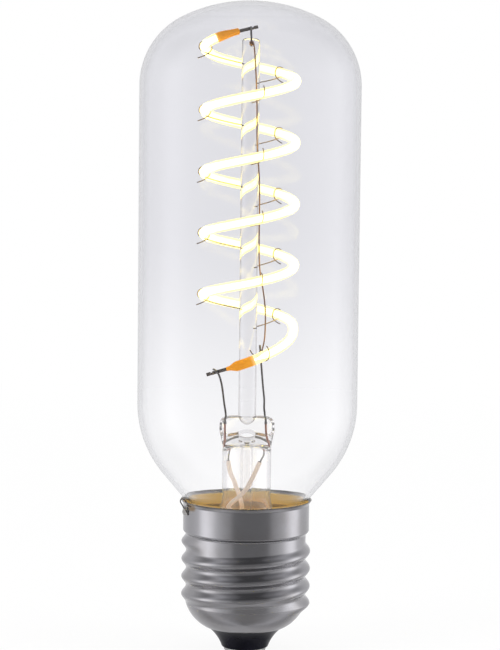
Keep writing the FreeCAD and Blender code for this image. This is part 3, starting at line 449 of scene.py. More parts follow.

# %% [markdown]
# ## The small parts' finishes
#
# The insulator is black glass, the sleeves are woven glass fibre soaked in varnish, and the cement, the
# board and its parts are dull. The cement and the sleeves also carry a painted glow of light. Noise at
# the size of the real grain keeps each from looking like a painted block.

# %% Grained finishes
def grained(name, colour, other, roughness, scale, bump, **plain):
    """Two colours mixed by noise, with the same noise as a fine relief."""
    material, tree, shader = finish(name, colour, roughness=roughness, **plain)
    grain = tree.noise(tree.place(), scale, 5)
    mixed = tree.ramp(grain, [(0.35, colour), (0.7, other)])
    tree.fill_named(shader, Base_Color=mixed, Normal=tree.bump(grain, bump, 0.3 * MM))
    return material


vitrite = grained("black_glass", (0.004, 0.004, 0.008), (0.010, 0.010, 0.017), 0.2, 300, 0.05,
                  Specular_IOR_Level=0.1)
# The cement's emission is a painted glow of light, not a colour of the cement
cement = grained("baked_cement", (0.56, 0.36, 0.12), (0.42, 0.26, 0.08), 0.8, 900, 0.6,
                 Emission_Color=(0.62, 0.38, 0.12), Emission_Strength=0.12)
laminate = grained("board_laminate", (0.10, 0.26, 0.13), (0.07, 0.19, 0.09), 0.45, 1500, 0.1)
moulding = grained("chip_moulding", (0.02, 0.02, 0.022), (0.035, 0.035, 0.04), 0.5, 2500, 0.15)
can_skin = grained("capacitor_sleeve", (0.05, 0.06, 0.10), (0.08, 0.09, 0.14), 0.35, 700, 0.05)
lacquer = grained("resistor_lacquer", (0.20, 0.34, 0.24), (0.15, 0.26, 0.18), 0.4, 900, 0.15)
# The sleeves' emission is painted light: it makes them glow paler than their lighting would
fibre = grained("varnished_fibre", (0.92, 0.76, 0.63), (0.96, 0.87, 0.78), 0.38, 2400, 0.35,
                Emission_Color=(0.90, 0.72, 0.60), Emission_Strength=0.38)
print("materials so far:", len(bpy.data.materials))

# %% [markdown]
# ## Pieces and turned outlines
#
# Every mesh becomes a piece in the same way: it is shaded smooth but for its sharp edges, rides on the
# bulb and stands in for the CAD solids that it shows. Glass and cap are round about the bulb's axis, so
# each starts as an outline of (radius, height) points that is swept once round. Arcs are worked out from
# their two ends and radius, as a draughtsman would give them.

# %% Helpers for pieces
SHARP_ANGLE = math.radians(38)


def put_out(name, data):
    thing = bpy.data.objects.new(name, data)
    scene.collection.objects.link(thing)
    return thing


def piece(name, mesh, material, nodes=()):
    """A finished mesh as a piece of the bulb, in place of the CAD nodes that it is given."""
    mesh.name = name
    mesh.materials.clear()
    mesh.materials.append(material)
    mesh.polygons.foreach_set("use_smooth", [True] * len(mesh.polygons))
    mesh.set_sharp_from_angle(angle=SHARP_ANGLE)
    made = put_out(name, mesh)
    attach(made, "root")
    if nodes:
        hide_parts(*nodes)
    return made


def evaluated(carrier):
    """The mesh that an object's modifiers make of it; the object is removed."""
    bpy.context.view_layer.update()
    depsgraph = bpy.context.evaluated_depsgraph_get()
    mesh = bpy.data.meshes.new_from_object(carrier.evaluated_get(depsgraph), depsgraph=depsgraph,
                                           preserve_all_data_layers=True)
    carrier.modifiers.clear()
    bpy.data.objects.remove(carrier)
    return mesh


# %% Helpers for turned pieces
def bend(start, end, radius, side, step):
    """Points along an arc that bulges to the left of its way (1) or to the right (-1), without its end."""
    chord = end - start
    left = Vector((-chord.y, chord.x)).normalized()
    centre = (start + end) / 2 - left * side * math.sqrt(max(radius**2 - chord.length_squared / 4, 0))
    first = math.atan2(start.y - centre.y, start.x - centre.x)
    last = math.atan2(end.y - centre.y, end.x - centre.x)
    sweep = (last - first + math.pi) % (2 * math.pi) - math.pi
    count = max(2, math.ceil(abs(math.degrees(sweep)) / step))
    turns = [first + sweep * number / count for number in range(count)]
    return [centre + Vector((math.cos(turn), math.sin(turn))) * radius for turn in turns]


def outline(corners, step=3.0, span=1000.0):
    """Points round a closed outline. A corner is (radius, height), or has an arc's radius and side too."""
    points = []
    for corner, after in zip(corners, corners[1:] + corners[:1]):
        start, end = Vector(corner[:2]), Vector(after[:2])
        if len(corner) == 4:
            points += bend(start, end, corner[2], corner[3], step)
            continue
        count = max(1, math.ceil((end - start).length / span))
        points += [start.lerp(end, number / count) for number in range(count)]
    return points


def outwards(mesh):
    """Merge doubles and turn every face's normal outwards."""
    work = bmesh.new()
    work.from_mesh(mesh)
    bmesh.ops.remove_doubles(work, verts=work.verts, dist=1e-7)
    bmesh.ops.recalc_face_normals(work, faces=work.faces)
    work.to_mesh(mesh)
    work.free()
    return mesh


def skin_rings(name, rings):
    """A closed skin over rings of points, the last joined to the first; a ring of one point is a pole."""
    places, numbers, faces = [], [], []
    for ring in rings:
        numbers.append(range(len(places), len(places) + len(ring)))
        places += ring
    for low, high in zip(numbers, numbers[1:] + numbers[:1]):
        count = max(len(low), len(high))
        if count == 1:
            continue
        for number in range(count):
            after = (number + 1) % count
            corners = [low[number % len(low)], low[after % len(low)],
                       high[after % len(high)], high[number % len(high)]]
            faces.append(list(dict.fromkeys(corners)))
    mesh = bpy.data.meshes.new(name)
    mesh.from_pydata([Vector(place) * MM for place in places], [], faces)
    return outwards(mesh)


def turned(name, points, segments=192):
    """A mesh turned from a closed outline of (radius, height) points."""
    steps = [2 * math.pi * number / segments for number in range(segments)]
    rings = []
    for radius, height in points:
        if radius < 1e-6:
            rings.append([(0, 0, height)])
        else:
            rings.append([(radius * math.cos(turn), radius * math.sin(turn), height) for turn in steps])
    return skin_rings(name, rings)


def turned_piece(name, points, segments, material, node):
    return piece(name, turned(name, points, segments), material, [node])


# %% [markdown]
# ## Glass envelope
#
# The tube is blown in one piece: a shallow crown, a rounded shoulder, the straight wall, and a waist
# that narrows to the neck inside the cap. Both its outside and its inside are modelled, a wall's
# thickness apart, because light bends at each of them.

# %% Glass envelope
def glass_line(depth):
    """Points of the glass from neck to crown, at a depth under the outside."""
    tube, waist = GLASS_RADIUS - depth, WAIST_BEND - depth
    shoulder, crown = SHOULDER_BEND - depth, CROWN_BEND - depth
    neck, neck_bend = NECK_RADIUS - depth, NECK_BEND + depth
    slope = math.radians(WAIST_SLOPE)
    cone_top = (tube - waist + waist * math.cos(slope), WAIST_TOP - waist * math.sin(slope))
    corner = cone_top[1] - (cone_top[0] - neck) / math.tan(slope)
    reach = neck_bend * math.tan(slope / 2)
    shoulder_axis = tube - shoulder
    crown_centre = GLASS_TOP - CROWN_BEND
    shoulder_centre = crown_centre + math.sqrt((crown - shoulder)**2 - shoulder_axis**2)
    stretch = crown / (crown - shoulder)
    top = (0, GLASS_TOP - depth)
    points = outline([
        (neck, NECK_END),
        (neck, corner - reach, neck_bend, 1),
        (neck + reach * math.sin(slope), corner + reach * math.cos(slope)),
        (*cone_top, waist, -1),
        (tube, WAIST_TOP),
        (tube, shoulder_centre, shoulder, -1),
        (shoulder_axis * stretch, crown_centre + (shoulder_centre - crown_centre) * stretch, crown, -1),
        top,
    ], 2.0, 3.0)
    return points[:points.index(Vector(top)) + 1]


glass_points = glass_line(0) + glass_line(GLASS_WALL)[::-1]
envelope = turned_piece("glass_envelope_blown", glass_points, 192, blown_glass,
                        "glass_envelope")
print("glass faces:", len(envelope.data.polygons))

# %% [markdown]
# ## Geometry Nodes helpers
#
# What repeats or follows a rule on this bulb is made by node trees: the rolled thread, the wires along
# their routes and the rows of hooks. Every tree has named inputs, and the result is kept as a plain mesh.

# %% Helpers for geometry trees
def geometry_tree(name, inputs):
    """An empty geometry tree with named inputs, given as a socket type and a value, and a material."""
    group = bpy.data.node_groups.new(name, "GeometryNodeTree")
    group.interface.new_socket("Geometry", in_out="INPUT", socket_type="NodeSocketGeometry")
    for label, (kind, value) in inputs.items():
        socket = group.interface.new_socket(label, in_out="INPUT", socket_type="NodeSocket" + kind)
        socket.default_value = value
    group.interface.new_socket("Material", in_out="INPUT", socket_type="NodeSocketMaterial")
    group.interface.new_socket("Geometry", in_out="OUTPUT", socket_type="NodeSocketGeometry")
    tree = Tree(group)
    return group, tree, tree.node("NodeGroupInput").outputs


def close_tree(tree, given, geometry):
    """End a tree with real geometry in the material that it is given."""
    real = tree.node("GeometryNodeRealizeInstances", {0: geometry}).outputs[0]
    paint = tree.node("GeometryNodeSetMaterial", {"Geometry": real, "Material": given["Material"]})
    tree.node("NodeGroupOutput", {0: paint.outputs[0]})


def run_tree(group, carrier, material, **values):
    """Run a tree on a carrier object and keep the result as a mesh."""
    modifier = carrier.modifiers.new(group.name, "NODES")
    modifier.node_group = group
    values["Material"] = material
    for item in group.interface.items_tree:
        label = item.name.replace(" ", "_")
        if item.in_out == "INPUT" and label in values:
            modifier[item.identifier] = values[label]
    return evaluated(carrier)


# %% [markdown]
# ## Screw cap
#
# On the real cap, rollers press the round thread into a thin drawn shell, so the same wave shows outside
# and inside. Here the plain shell is turned first, with many rings where the thread goes. A node tree
# then moves each point outwards by a rule: how near it is to the helix sets how far.

# %% Tree that rolls the thread
def make_thread_tree():
    group, tree, given = geometry_tree("roll_thread", {
        "Start": ("Float", THREAD_START * MM), "Pitch": ("Float", THREAD_PITCH * MM),
        "Turns": ("Float", THREAD_TURNS), "Depth": ("Float", (CREST_RADIUS - ROOT_RADIUS) * MM),
        "Run Out": ("Float", 0.14)})
    x, y, z = tree.split(tree.node("GeometryNodeInputPosition").outputs[0])
    angle = tree.math("ARCTAN2", y, x)
    share = tree.math("FRACT", tree.math("DIVIDE", angle, 2 * math.pi))
    height = tree.math("DIVIDE", tree.math("SUBTRACT", z, given["Start"]), given["Pitch"])
    phase = tree.math("SUBTRACT", height, share)
    turn = tree.math("ROUND", phase)
    off = tree.math("SUBTRACT", phase, turn)
    wave = tree.math("COSINE", tree.math("MULTIPLY", off, 2 * math.pi))
    crest = tree.math("POWER", tree.math("MULTIPLY_ADD", wave, 0.5, 0.5), 1.05)
    along = tree.math("ADD", turn, share)
    whole = tree.math("ADD", given["Turns"], given["Run Out"])
    reaches = [tree.math("ADD", along, given["Run Out"]), tree.math("SUBTRACT", whole, along)]
    fades = [tree.span(reach, 0.0, given["Run Out"], kind="SMOOTHSTEP") for reach in reaches]
    rise = tree.math("MULTIPLY", tree.math("MULTIPLY", *fades), crest)
    rise = tree.math("MULTIPLY", rise, given["Depth"])
    away = tree.node("ShaderNodeCombineXYZ", {0: tree.math("COSINE", angle), 1: tree.math("SINE", angle)})
    shift = tree.vector("SCALE", away.outputs[0], Scale=rise)
    move = tree.node("GeometryNodeSetPosition", {"Geometry": given["Geometry"], "Offset": shift})
    close_tree(tree, given, move.outputs[0])
    return group


# %% Cap shell: turned blank, then the thread rolled into it
RING_STEP = 0.12
collar_inside, root_inside = COLLAR_RADIUS - CAP_SHEET, ROOT_RADIUS - CAP_SHEET
cap_outline = outline([
    (SKIRT_END_RADIUS, SKIRT_END, SKIRT_BEND, -1),
    (SKIRT_RADIUS, SKIRT_TOP),
    (ROOT_RADIUS, SKIRT_TOP + 0.5),
    (ROOT_RADIUS, COLLAR_END - 0.75),
    (ROOT_RADIUS + 0.12, COLLAR_END - 0.5),
    (COLLAR_RADIUS - 0.1, COLLAR_END - 0.05),
    (COLLAR_RADIUS, COLLAR_END + 0.15),
    (COLLAR_RADIUS, CAP_TOP - RIM_HEIGHT - 0.1),
    (COLLAR_RADIUS + 0.12, CAP_TOP - RIM_HEIGHT + 0.12),
    (RIM_RADIUS - 0.02, CAP_TOP - 0.1, 0.16, -1),
    (RIM_RADIUS - 0.22, CAP_TOP - 0.02),
    (collar_inside, CAP_TOP - RIM_HEIGHT),
    (collar_inside, COLLAR_END),
    (root_inside, COLLAR_END - 0.65),
    (root_inside, SKIRT_TOP + 0.5),
    (SKIRT_RADIUS - 0.3, SKIRT_TOP, SKIRT_BEND - CAP_SHEET, 1),
    (SKIRT_END_RADIUS - 0.27, SKIRT_END + 0.1, 0.2, 1),
], 3.0, RING_STEP)
blank = put_out("cap_blank", turned("cap_blank", cap_outline, 256))
rolled = run_tree(make_thread_tree(), blank, cap_metal)
cap = piece("cap_shell_rolled", rolled, cap_metal, ["cap_shell"])
print("cap faces:", len(cap.data.polygons), "radius:", round(max(v.co.x for v in cap.data.vertices) / MM, 2))

# %% [markdown]
# ## Foot of the cap
#
# The black glass insulator is pressed into the shell's open end and narrows in a hollow curve to the
# centre contact, a plated disc whose hole is filled with solder round the end of its wire.

# %% Insulator, contact and solder
insulator_line = outline([
    (INSULATOR_BORE, INSULATOR_FOOT + 0.03),
    (4.45, INSULATOR_FOOT, 0.5, -1),
    (4.85, INSULATOR_FOOT + 0.43, INSULATOR_BEND, 1),
    (SKIRT_END_RADIUS - 0.32, SKIRT_END + 0.02, 0.25, -1),
    (SKIRT_END_RADIUS - 0.06, SKIRT_END + 0.25, SKIRT_BEND - 0.4, -1),
    (10.6, INSULATOR_TOP),
    (INSULATOR_BORE, INSULATOR_TOP),
])
contact_line = outline([
    (CONTACT_HOLE, 0.02),
    (CONTACT_RADIUS - 0.3, 0.0, 0.32, -1),
    (CONTACT_RADIUS, 0.32),
    (CONTACT_RADIUS, CONTACT_TOP),
    (CONTACT_HOLE, CONTACT_TOP),
], 6.0)
drop_line = outline([(0, 0.02, 8.0, -1), (1.2, 0.08, 0.9, -1), (1.6, 0.3), (1.6, 0.66), (0, 0.66)], 4.0)
turned_piece("insulator_pressed", insulator_line, 192, vitrite, "insulator")
turned_piece("centre_contact_disc", contact_line, 96, nickel, "centre_contact")
turned_piece("contact_solder_drop", drop_line, 64, tin, "contact_solder")
print("insulator points:", len(insulator_line))

# %% [markdown]
# ## Wires along routes
#
# A wire is a round section carried along a smooth line. The line is a curve through the same points as
# the CAD route, and a tree gives it its thickness.

# %% Helpers for wires
def even_line(tree, line, step):
    return tree.node("GeometryNodeResampleCurve", {"Curve": line, "Length": step}, mode="LENGTH").outputs[0]


def sweep(tree, line, radius, sides):
    """A closed tube along a line, thicker or thinner where the line's own radius says so."""
    ring = tree.node("GeometryNodeCurvePrimitiveCircle", {"Resolution": sides, "Radius": radius}).outputs[0]
    width = tree.node("GeometryNodeInputRadius").outputs[0]
    inputs = {"Curve": line, "Profile Curve": ring, "Scale": width, "Fill Caps": True}
    return tree.node("GeometryNodeCurveToMesh", inputs).outputs[0]


def route(name, points):
    """A smooth open curve with the route's points, in millimetres, as its control points."""
    curve = bpy.data.curves.new(name, "CURVE")
    curve.dimensions = "3D"
    spline = curve.splines.new("NURBS")
    spline.points.add(len(points) - 1)
    for point, place in zip(spline.points, points):
        point.co = (*(Vector(place) * MM), 1)
        point.radius = 1.0
    spline.order_u = 3
    spline.use_endpoint_u = True
    spline.resolution_u = 16
    return put_out(name, curve)


def around(angle, radius, height):
    turn = math.radians(angle)
    return Vector((radius * math.cos(turn), radius * math.sin(turn), height))


# %% Tree that draws a wire
def make_wire_tree():
    group, tree, given = geometry_tree("drawn_wire", {
        "Radius": ("Float", 0.2 * MM), "Step": ("Float", 0.3 * MM), "Sides": ("Int", 16)})
    line = even_line(tree, given["Geometry"], given["Step"])
    close_tree(tree, given, sweep(tree, line, given["Radius"], given["Sides"]))
    return group


wire_tree = make_wire_tree()
print("nodes in the wire tree:", len(wire_tree.nodes))


def wire(name, points, radius, material, node, sides=16, step=0.3):
    mesh = run_tree(wire_tree, route(name + "_route", points), material, Radius=radius * MM, Step=step * MM,
                    Sides=sides)
    return piece(name, mesh, material, [node])


# %% [markdown]
# ## The glowing strand
#
# The strand is a bendy strip of tiny lights under silicone with yellow phosphor. Lit, its middle is
# white and its rim pale yellow, because at the rim more silicone lies in front of the light. It is
# built the same way: a bright core inside a coat of pale yellow silicone. Both ends are unlit orange,
# with a painted orange glow.

# %% Route of the strand
foot, head = COIL_START, COIL_START + COIL_PITCH * COIL_TURNS
turn_step, last = 30, COIL_TURNS * 360
corner = COIL_RADIUS / math.cos(math.radians(turn_step / 2))


def coil_height(angle):
    return COIL_START + COIL_PITCH * angle / 360


tail = [around(-119, COIL_RADIUS - 0.69, foot - 8.1), around(-93.9, COIL_RADIUS - 0.23, foot - 6.9),
        around(-66.5, COIL_RADIUS + 0.12, foot - 5.1), around(-40.3, COIL_RADIUS + 0.43, foot - 3.3),
        around(-15, corner, foot - 1.6)]
coil = [around(angle, corner, coil_height(angle)) for angle in range(15, round(last) - 15, turn_step)]
curl = [around(last - 15, corner, coil_height(last - 15) + 0.2),
        around(last + 12, corner, coil_height(last + 12) + 0.6),
        around(-149, COIL_RADIUS - 1.05, head + 2.2), around(-156, 0.56 * COIL_RADIUS, head + 3.15),
        Vector((-2.6, -0.92, head + 3.75))]
strand_points = tail + coil + curl


def strand_length():
    """Length in millimetres of the strand's line, measured on the curve itself."""
    carrier = route("measure", strand_points)
    total = carrier.data.splines[0].calc_length() / MM
    bpy.data.objects.remove(carrier)
    return total


length = strand_length()
LIT_FROM, LIT_TO = 6.0, length - 5.3
print("strand length in mm:", round(length, 1))

# %% [markdown]
# ## Light of the strand
#
# The strand's tree writes how far along each point lies as "run", and the materials read it: the core's
# light rises and falls with the chips in it, and the orange ends are lit where they meet it and carry a
# painted orange glow all along. Mirrored in the glass, the core is drawn brighter than a picture can show
# it, as a real lamp is.

# %% Materials of the strand
CHIP_PITCH = 1.15
EXTRA_WHEN_MIRRORED = 1.2


def distance_along(tree):
    return tree.node("ShaderNodeAttribute", attribute_name="run").outputs["Fac"]


def make_core():
    material, tree, shader = finish("strand_core", (1, 0.95, 0.8), Emission_Strength=2.5)
    wave = tree.math("SINE", tree.math("MULTIPLY", distance_along(tree), 2 * math.pi / (CHIP_PITCH * MM)))
    chips = tree.ramp(tree.span(wave, -1, 1), [(0, (1.0, 0.90, 0.37)), (1, (1.0, 0.96, 0.50))])
    towards_rod = tree.span(away_from_axis(tree), 3 * MM, -3 * MM)
    warm = tree.blend(towards_rod, chips, (0.72, 0.62, 0.22))
    mirrored = tree.node("ShaderNodeLightPath").outputs["Is Glossy Ray"]
    level = tree.math("MULTIPLY_ADD", mirrored, EXTRA_WHEN_MIRRORED, 1.0)
    tree.fill_named(shader, Emission_Color=tree.vector("SCALE", warm, Scale=level))
    return material


def make_coat():
    material, tree, shader = finish("phosphor_coat", (1.0, 0.93, 0.50), roughness=0.34, IOR=1.2,
                                    Transmission_Weight=0.8, Emission_Strength=0.5)
    mottle = tree.ramp(tree.noise(tree.place(), 500), [(0.35, (1.0, 0.78, 0.36)), (0.65, (1.0, 0.88, 0.52))])
    tree.fill_named(shader, Emission_Color=mottle)
    return material


def make_unlit():
    material, tree, shader = finish("unlit_phosphor", (0.66, 0.24, 0.006), Emission_Strength=1.0,
                                    Specular_IOR_Level=0.2)
    tone = tree.ramp(tree.noise(tree.place(), 900), [(0, (0.56, 0.18, 0.004)), (1, (0.74, 0.28, 0.008))])
    run = distance_along(tree)
    low = tree.span(run, (LIT_FROM - 2.2) * MM, (LIT_FROM + 0.3) * MM)
    high = tree.span(run, (LIT_TO + 1.0) * MM, (LIT_TO - 0.2) * MM)
    # The ends glow: the yellow where they meet the lit part is light running on in the silicone, and the
    # orange all along them is a painted glow, though that part is no lamp
    glow = tree.ramp(tree.math("MINIMUM", low, high),
                     [(0, (0.52, 0.20, 0.0)), (1, (1.0, 0.80, 0.36)), (0.6, (0.62, 0.26, 0.004))])
    tree.fill_named(shader, Base_Color=tone, Emission_Color=glow)
    return material


# %% Strand: core, coat and the two unlit ends
def make_part_tree():
    """The strand between two distances along its line, with ends that may be tapered."""
    group, tree, given = geometry_tree("strand_part", {
        "Radius": ("Float", STRAND_RADIUS * MM), "From": ("Float", 0.0), "To": ("Float", 1.0),
        "Taper From": ("Float", 0.0), "Taper To": ("Float", 0.0), "Thin From": ("Float", 1.0),
        "Thin To": ("Float", 1.0)})
    line = even_line(tree, given["Geometry"], 0.2 * MM)
    distance = tree.node("GeometryNodeSplineParameter").outputs["Length"]
    stored = tree.node("GeometryNodeStoreNamedAttribute", data_type="FLOAT", domain="POINT")
    tree.fill_named(stored, Geometry=line, Name="run", Value=distance)
    trim = tree.node("GeometryNodeTrimCurve", {"Curve": stored.outputs[0]}, mode="LENGTH")
    for name, cut in (("Start", "From"), ("End", "To")):
        lengths = [socket for socket in trim.inputs if socket.name == name and socket.enabled]
        tree.fill(lengths[-1], given[cut])
    run = tree.node("GeometryNodeInputNamedAttribute", {"Name": "run"}, data_type="FLOAT").outputs[0]
    sizes = []
    for end, way in (("From", 1), ("To", -1)):
        away = tree.math("MULTIPLY", tree.math("SUBTRACT", run, given[end]), way)
        taper = tree.math("ADD", given["Taper " + end], 1e-6)
        sizes.append(tree.span(away, 0.0, taper, to_low=given["Thin " + end], kind="SMOOTHERSTEP"))
    width = tree.math("MULTIPLY", *sizes)
    shaped = tree.node("GeometryNodeSetCurveRadius", {"Curve": trim.outputs[0], "Radius": width})
    close_tree(tree, given, sweep(tree, shaped.outputs[0], given["Radius"], 20))
    return group


part_tree = make_part_tree()


def strand_part(name, material, radius, begin, end, **ends):
    values = {label: value * MM if label.startswith("Taper") else value for label, value in ends.items()}
    mesh = run_tree(part_tree, route(name + "_route", strand_points), material, Radius=radius * MM,
                    From=begin * MM, To=end * MM, **values)
    return piece(name, mesh, material, ["led_filament"])


unlit = make_unlit()
strand_part("strand_core", make_core(), 0.50, LIT_FROM, LIT_TO, Taper_From=3.0, Thin_From=0.3)
strand_part("strand_coat", make_coat(), 1.0, LIT_FROM, LIT_TO)
strand_part("strand_end_bottom", unlit, 1.02, 0.0, LIT_FROM, Taper_From=2.6, Thin_From=0.42)
top_end = strand_part("strand_end_top", unlit, 0.98, LIT_TO, length, Taper_To=5.0, Thin_To=0.72)
print("faces of the top end:", len(top_end.data.polygons))

# %% [markdown]
# ## Hooks
#
# Each hook is a hair-thin wire with one end melted into the rod. It runs out under the strand, up round
# it and over it. They climb with the coil, one pitch apart, so a tree makes one hook and repeats it up
# the rod.

# %% Tree that repeats a hook up the rod
def make_hook_tree():
    group, tree, given = geometry_tree("hook_row", {
        "Radius": ("Float", 0.11 * MM), "Count": ("Int", 5), "Pitch": ("Float", COIL_PITCH * MM)})
    hook = sweep(tree, even_line(tree, given["Geometry"], 0.15 * MM), given["Radius"], 10)
    climb = tree.node("ShaderNodeCombineXYZ", {2: given["Pitch"]}).outputs[0]
    ladder = tree.node("GeometryNodeMeshLine", {"Count": given["Count"], "Offset": climb}).outputs[0]
    repeat = tree.node("GeometryNodeInstanceOnPoints", {"Points": ladder, "Instance": hook})
    close_tree(tree, given, repeat.outputs[0])
    return group


hook_tree = make_hook_tree()
print("nodes in the hook tree:", len(hook_tree.nodes))


def hook_line(angle, foot_height, axis, strand, full, slack=0.0):
    """Points of one hook in the plane of its angle, for a strand at a distance and height."""
    ring = STRAND_RADIUS + 0.125 + 0.09 + slack
    across = around(angle + 90, 1, 0)
    way = [(0.9, foot_height, 0), (axis + ring, strand - ring, 0), (axis + ring, strand + ring, 1)]
    if full:
        way += [(axis - ring, strand + ring, 2), (axis - ring, strand - ring, 3),
                (axis + 1.2 * ring, strand - 1.7 * ring, 4)]
    else:
        way += [(axis - 0.4 * ring, strand + 1.3 * ring, 2)]
    return [around(angle, reach, height) + across * (turn * 0.1625) for reach, height, turn in way]


def hook_row(name, line, nodes):
    """One hook for each node, a pitch apart."""
    mesh = run_tree(hook_tree, route(name + "_route", line), hook_metal, Count=len(nodes))
    return piece(name, mesh, hook_metal, nodes)


hook_row("hooks_left", hook_line(180, 70.3, COIL_RADIUS, coil_height(180), True),
         [f"hook_left_{number}" for number in range(1, 5)])
hook_row("hook_left_top", hook_line(180, 119.9, COIL_RADIUS, coil_height(1620) + 0.4, True, 0.1),
         ["hook_left_5"])
hook_row("hooks_back", hook_line(48, 66.4, COIL_RADIUS, coil_height(48), True),
         [f"hook_back_{number}" for number in range(1, 6)])
hook_row("hooks_front", hook_line(285, 74.9, COIL_RADIUS, coil_height(285), False),
         [f"hook_front_{number}" for number in range(1, 5)])
tail_line = hook_line(-66, 62.1, COIL_RADIUS - 0.13, COIL_START - 5.08, False, 0.1)
tail_line.insert(1, around(-66, 3.9, 60.5))
tail_hook = hook_row("hook_for_tail", tail_line, ["hook_tail"])
print("faces of one hook:", len(tail_hook.data.polygons))

# %% [markdown]
# ## Rod and exhaust tube
#
# The rod is solid drawn glass, so it bends light like a lens and shows the strand behind it turned
# round. Its top is fire polished, and its foot sits in the stem's press.

# %% Rod and exhaust tube
rod_line = outline([
    (0, ROD_FOOT, 2.0, -1),
    (ROD_RADIUS, ROD_FOOT + 1.4),
    (ROD_RADIUS, ROD_TOP - 0.7, 0.85, -1),
    (ROD_RADIUS - 0.75, ROD_TOP - 0.03, 6.0, -1),
    (0, ROD_TOP),
], 8.0, 4.0)
tube_line = outline([
    (0.8, 42.7),
    (0.8, 23.4, 0.8, 1),
    (0, 22.6),
    (0, 20.4, 1.0, -1),
    (0.9, 20.9, 1.6, -1),
    (1.3, 22.6),
    (1.3, 42.7),
], 8.0, 4.0)
turned_piece("centre_rod_drawn", rod_line, 64, rod_glass, "centre_rod")
turned_piece("exhaust_tube_drawn", tube_line, 48, stem_glass, "exhaust_tube")
print("rod points:", len(rod_line))

# %% [markdown]
# ## Stem
#
# The stem starts as a flared tube. Its top is heated and pinched flat round the wires and the rod, and
# a hole is blown through the side into the exhaust tube. Its rings go from round to flat ovals, first up
# the outside and then down the inside, and the blow hole is cut with a Boolean modifier.

# %% Helpers for the stem
def oval(half_width, half_depth, height, power=2.0, count=96):
    """A ring between an ellipse (power 2) and a rounded slab (higher powers)."""
    ring = []
    for number in range(count):
        turn = 2 * math.pi * number / count
        x = math.copysign(abs(math.cos(turn)) ** (2 / power), math.cos(turn))
        y = math.copysign(abs(math.sin(turn)) ** (2 / power), math.sin(turn))
        ring.append((x * half_width, y * half_depth, height))
    return ring


def rounds(*places):
    """Round rings from (radius, height) points."""
    return [oval(radius, radius, height) for radius, height in places]


def with_hole(mesh, centre, half_sizes):
    """The mesh with a smooth egg-shaped hole cut through it."""
    work = bmesh.new()
    bmesh.ops.create_icosphere(work, subdivisions=5, radius=1)
    for vert in work.verts:
        vert.co = (Vector(centre) + vert.co * Vector(half_sizes)) * MM
    cutter = put_out("hole_cutter", bpy.data.meshes.new("hole_cutter"))
    work.to_mesh(cutter.data)
    work.free()
    whole = put_out("before_the_hole", mesh)
    cut = whole.modifiers.new("blow_hole", "BOOLEAN")
    cut.object = cutter
    cut.solver = "EXACT"
    result = evaluated(whole)
    bpy.data.objects.remove(cutter)
    return result


# %% Stem from rings that go from round to flat
FLARE_TOP, FLARE_RADIUS, FLARE_BORE = 34, 7.55, 6.9
flare_out = bend(Vector((FLARE_RADIUS, NECK_END)), Vector((STEM_RADIUS, FLARE_TOP)), 7.2, 1, 6)
flare_in = bend(Vector((STEM_BORE, FLARE_TOP)), Vector((FLARE_BORE, STEM_END)), 8.0, -1, 6)
press = [(5.02, 4.75, 42), (5.12, 4.15, 43), (5.3, 3.3, 43.9, 2.1), (5.5, 2.7, 44.7, 2.2),
         (5.62, 2.4, 45.5, 2.4), (5.66, 2.25, 46.3, 2.5), (5.6, 2.15, 47.0, 2.5), (5.4, 1.95, 47.6, 2.4),
         (5.05, 1.65, 48.05, 2.3), (4.5, 1.25, 48.35, 2.2), (3.6, 0.75, PRESS_TOP),
         (2.0, 0.3, PRESS_TOP + 0.02)]
outside = rounds((NECK_RADIUS, STEM_END), (NECK_RADIUS, NECK_END - 0.02), *flare_out)
outside += rounds(*((STEM_RADIUS, height) for height in (FLARE_TOP, 36.5, 39, 41)))
outside += [oval(*place) for place in press] + [[(0, 0, PRESS_TOP + 0.02)]]
inside = [[(0, 0, 42.8)]] + rounds((1.6, 42.8), (2.9, 42.75), (3.6, 42.4), (4.0, 41.9))
inside += rounds(*((STEM_BORE, height) for height in (41.2, 39, 36.5)))
inside += rounds(*flare_in, (FLARE_BORE, STEM_END))
pressed = with_hole(skin_rings("stem_skin", outside + inside), (0, 0, 44.35), (1.65, 12, 0.88))
stem = piece("stem_pinched", pressed, stem_glass, ["stem_flare"])
print("stem faces:", len(stem.data.polygons))

# %% [markdown]
# ## Leads
#
# Each lead is three wires in a row: a stiff grey one inside the bulb, a short copper clad one that seals
# in the glass, and a soft one below that goes down to the driver in a varnished sleeve. Where two of
# them are welded, the metal has run into a small bead.

# %% Lead wires
lead_left = [(-6.9, -6.35, 58.7), (-6.2, -6.95, 58.6), (-5.5, -7.05, 57.2), (-5.1, -5.2, 55.2),
             (-4.9, -3.3, 53.2), (-4.65, -1.2, 50.8), (-4.3, 0, 48.7), LEFT_SEAL]
lead_right = [(2.45, -0.6, 63.1), (2.6, -0.6, 60.8), (2.9, -0.4, 57.6), (3.15, -0.3, 54.6),
              (3.5, -0.2, 51.7), (3.4, -0.1, 50.2), (3.655, 0, 48.7), RIGHT_SEAL]
outer_left = [(-3.7, 0, 41.6), (-3.7, 0, 40.8), (-3.7, -0.9, 39.3), (-3.4, -1.2, 37.3), (-2.35, -1.6, 35.0),
              (-1.3, -1.9, 32.8), (-0.75, -2.2, 30.0), (-0.5, -2.4, 27.0), (0.6, -2.2, 24.0),
              (2.1, -1.2, 21.4), (2.6, 0.03, 19.0), (2.6, 0.03, 16.6)]
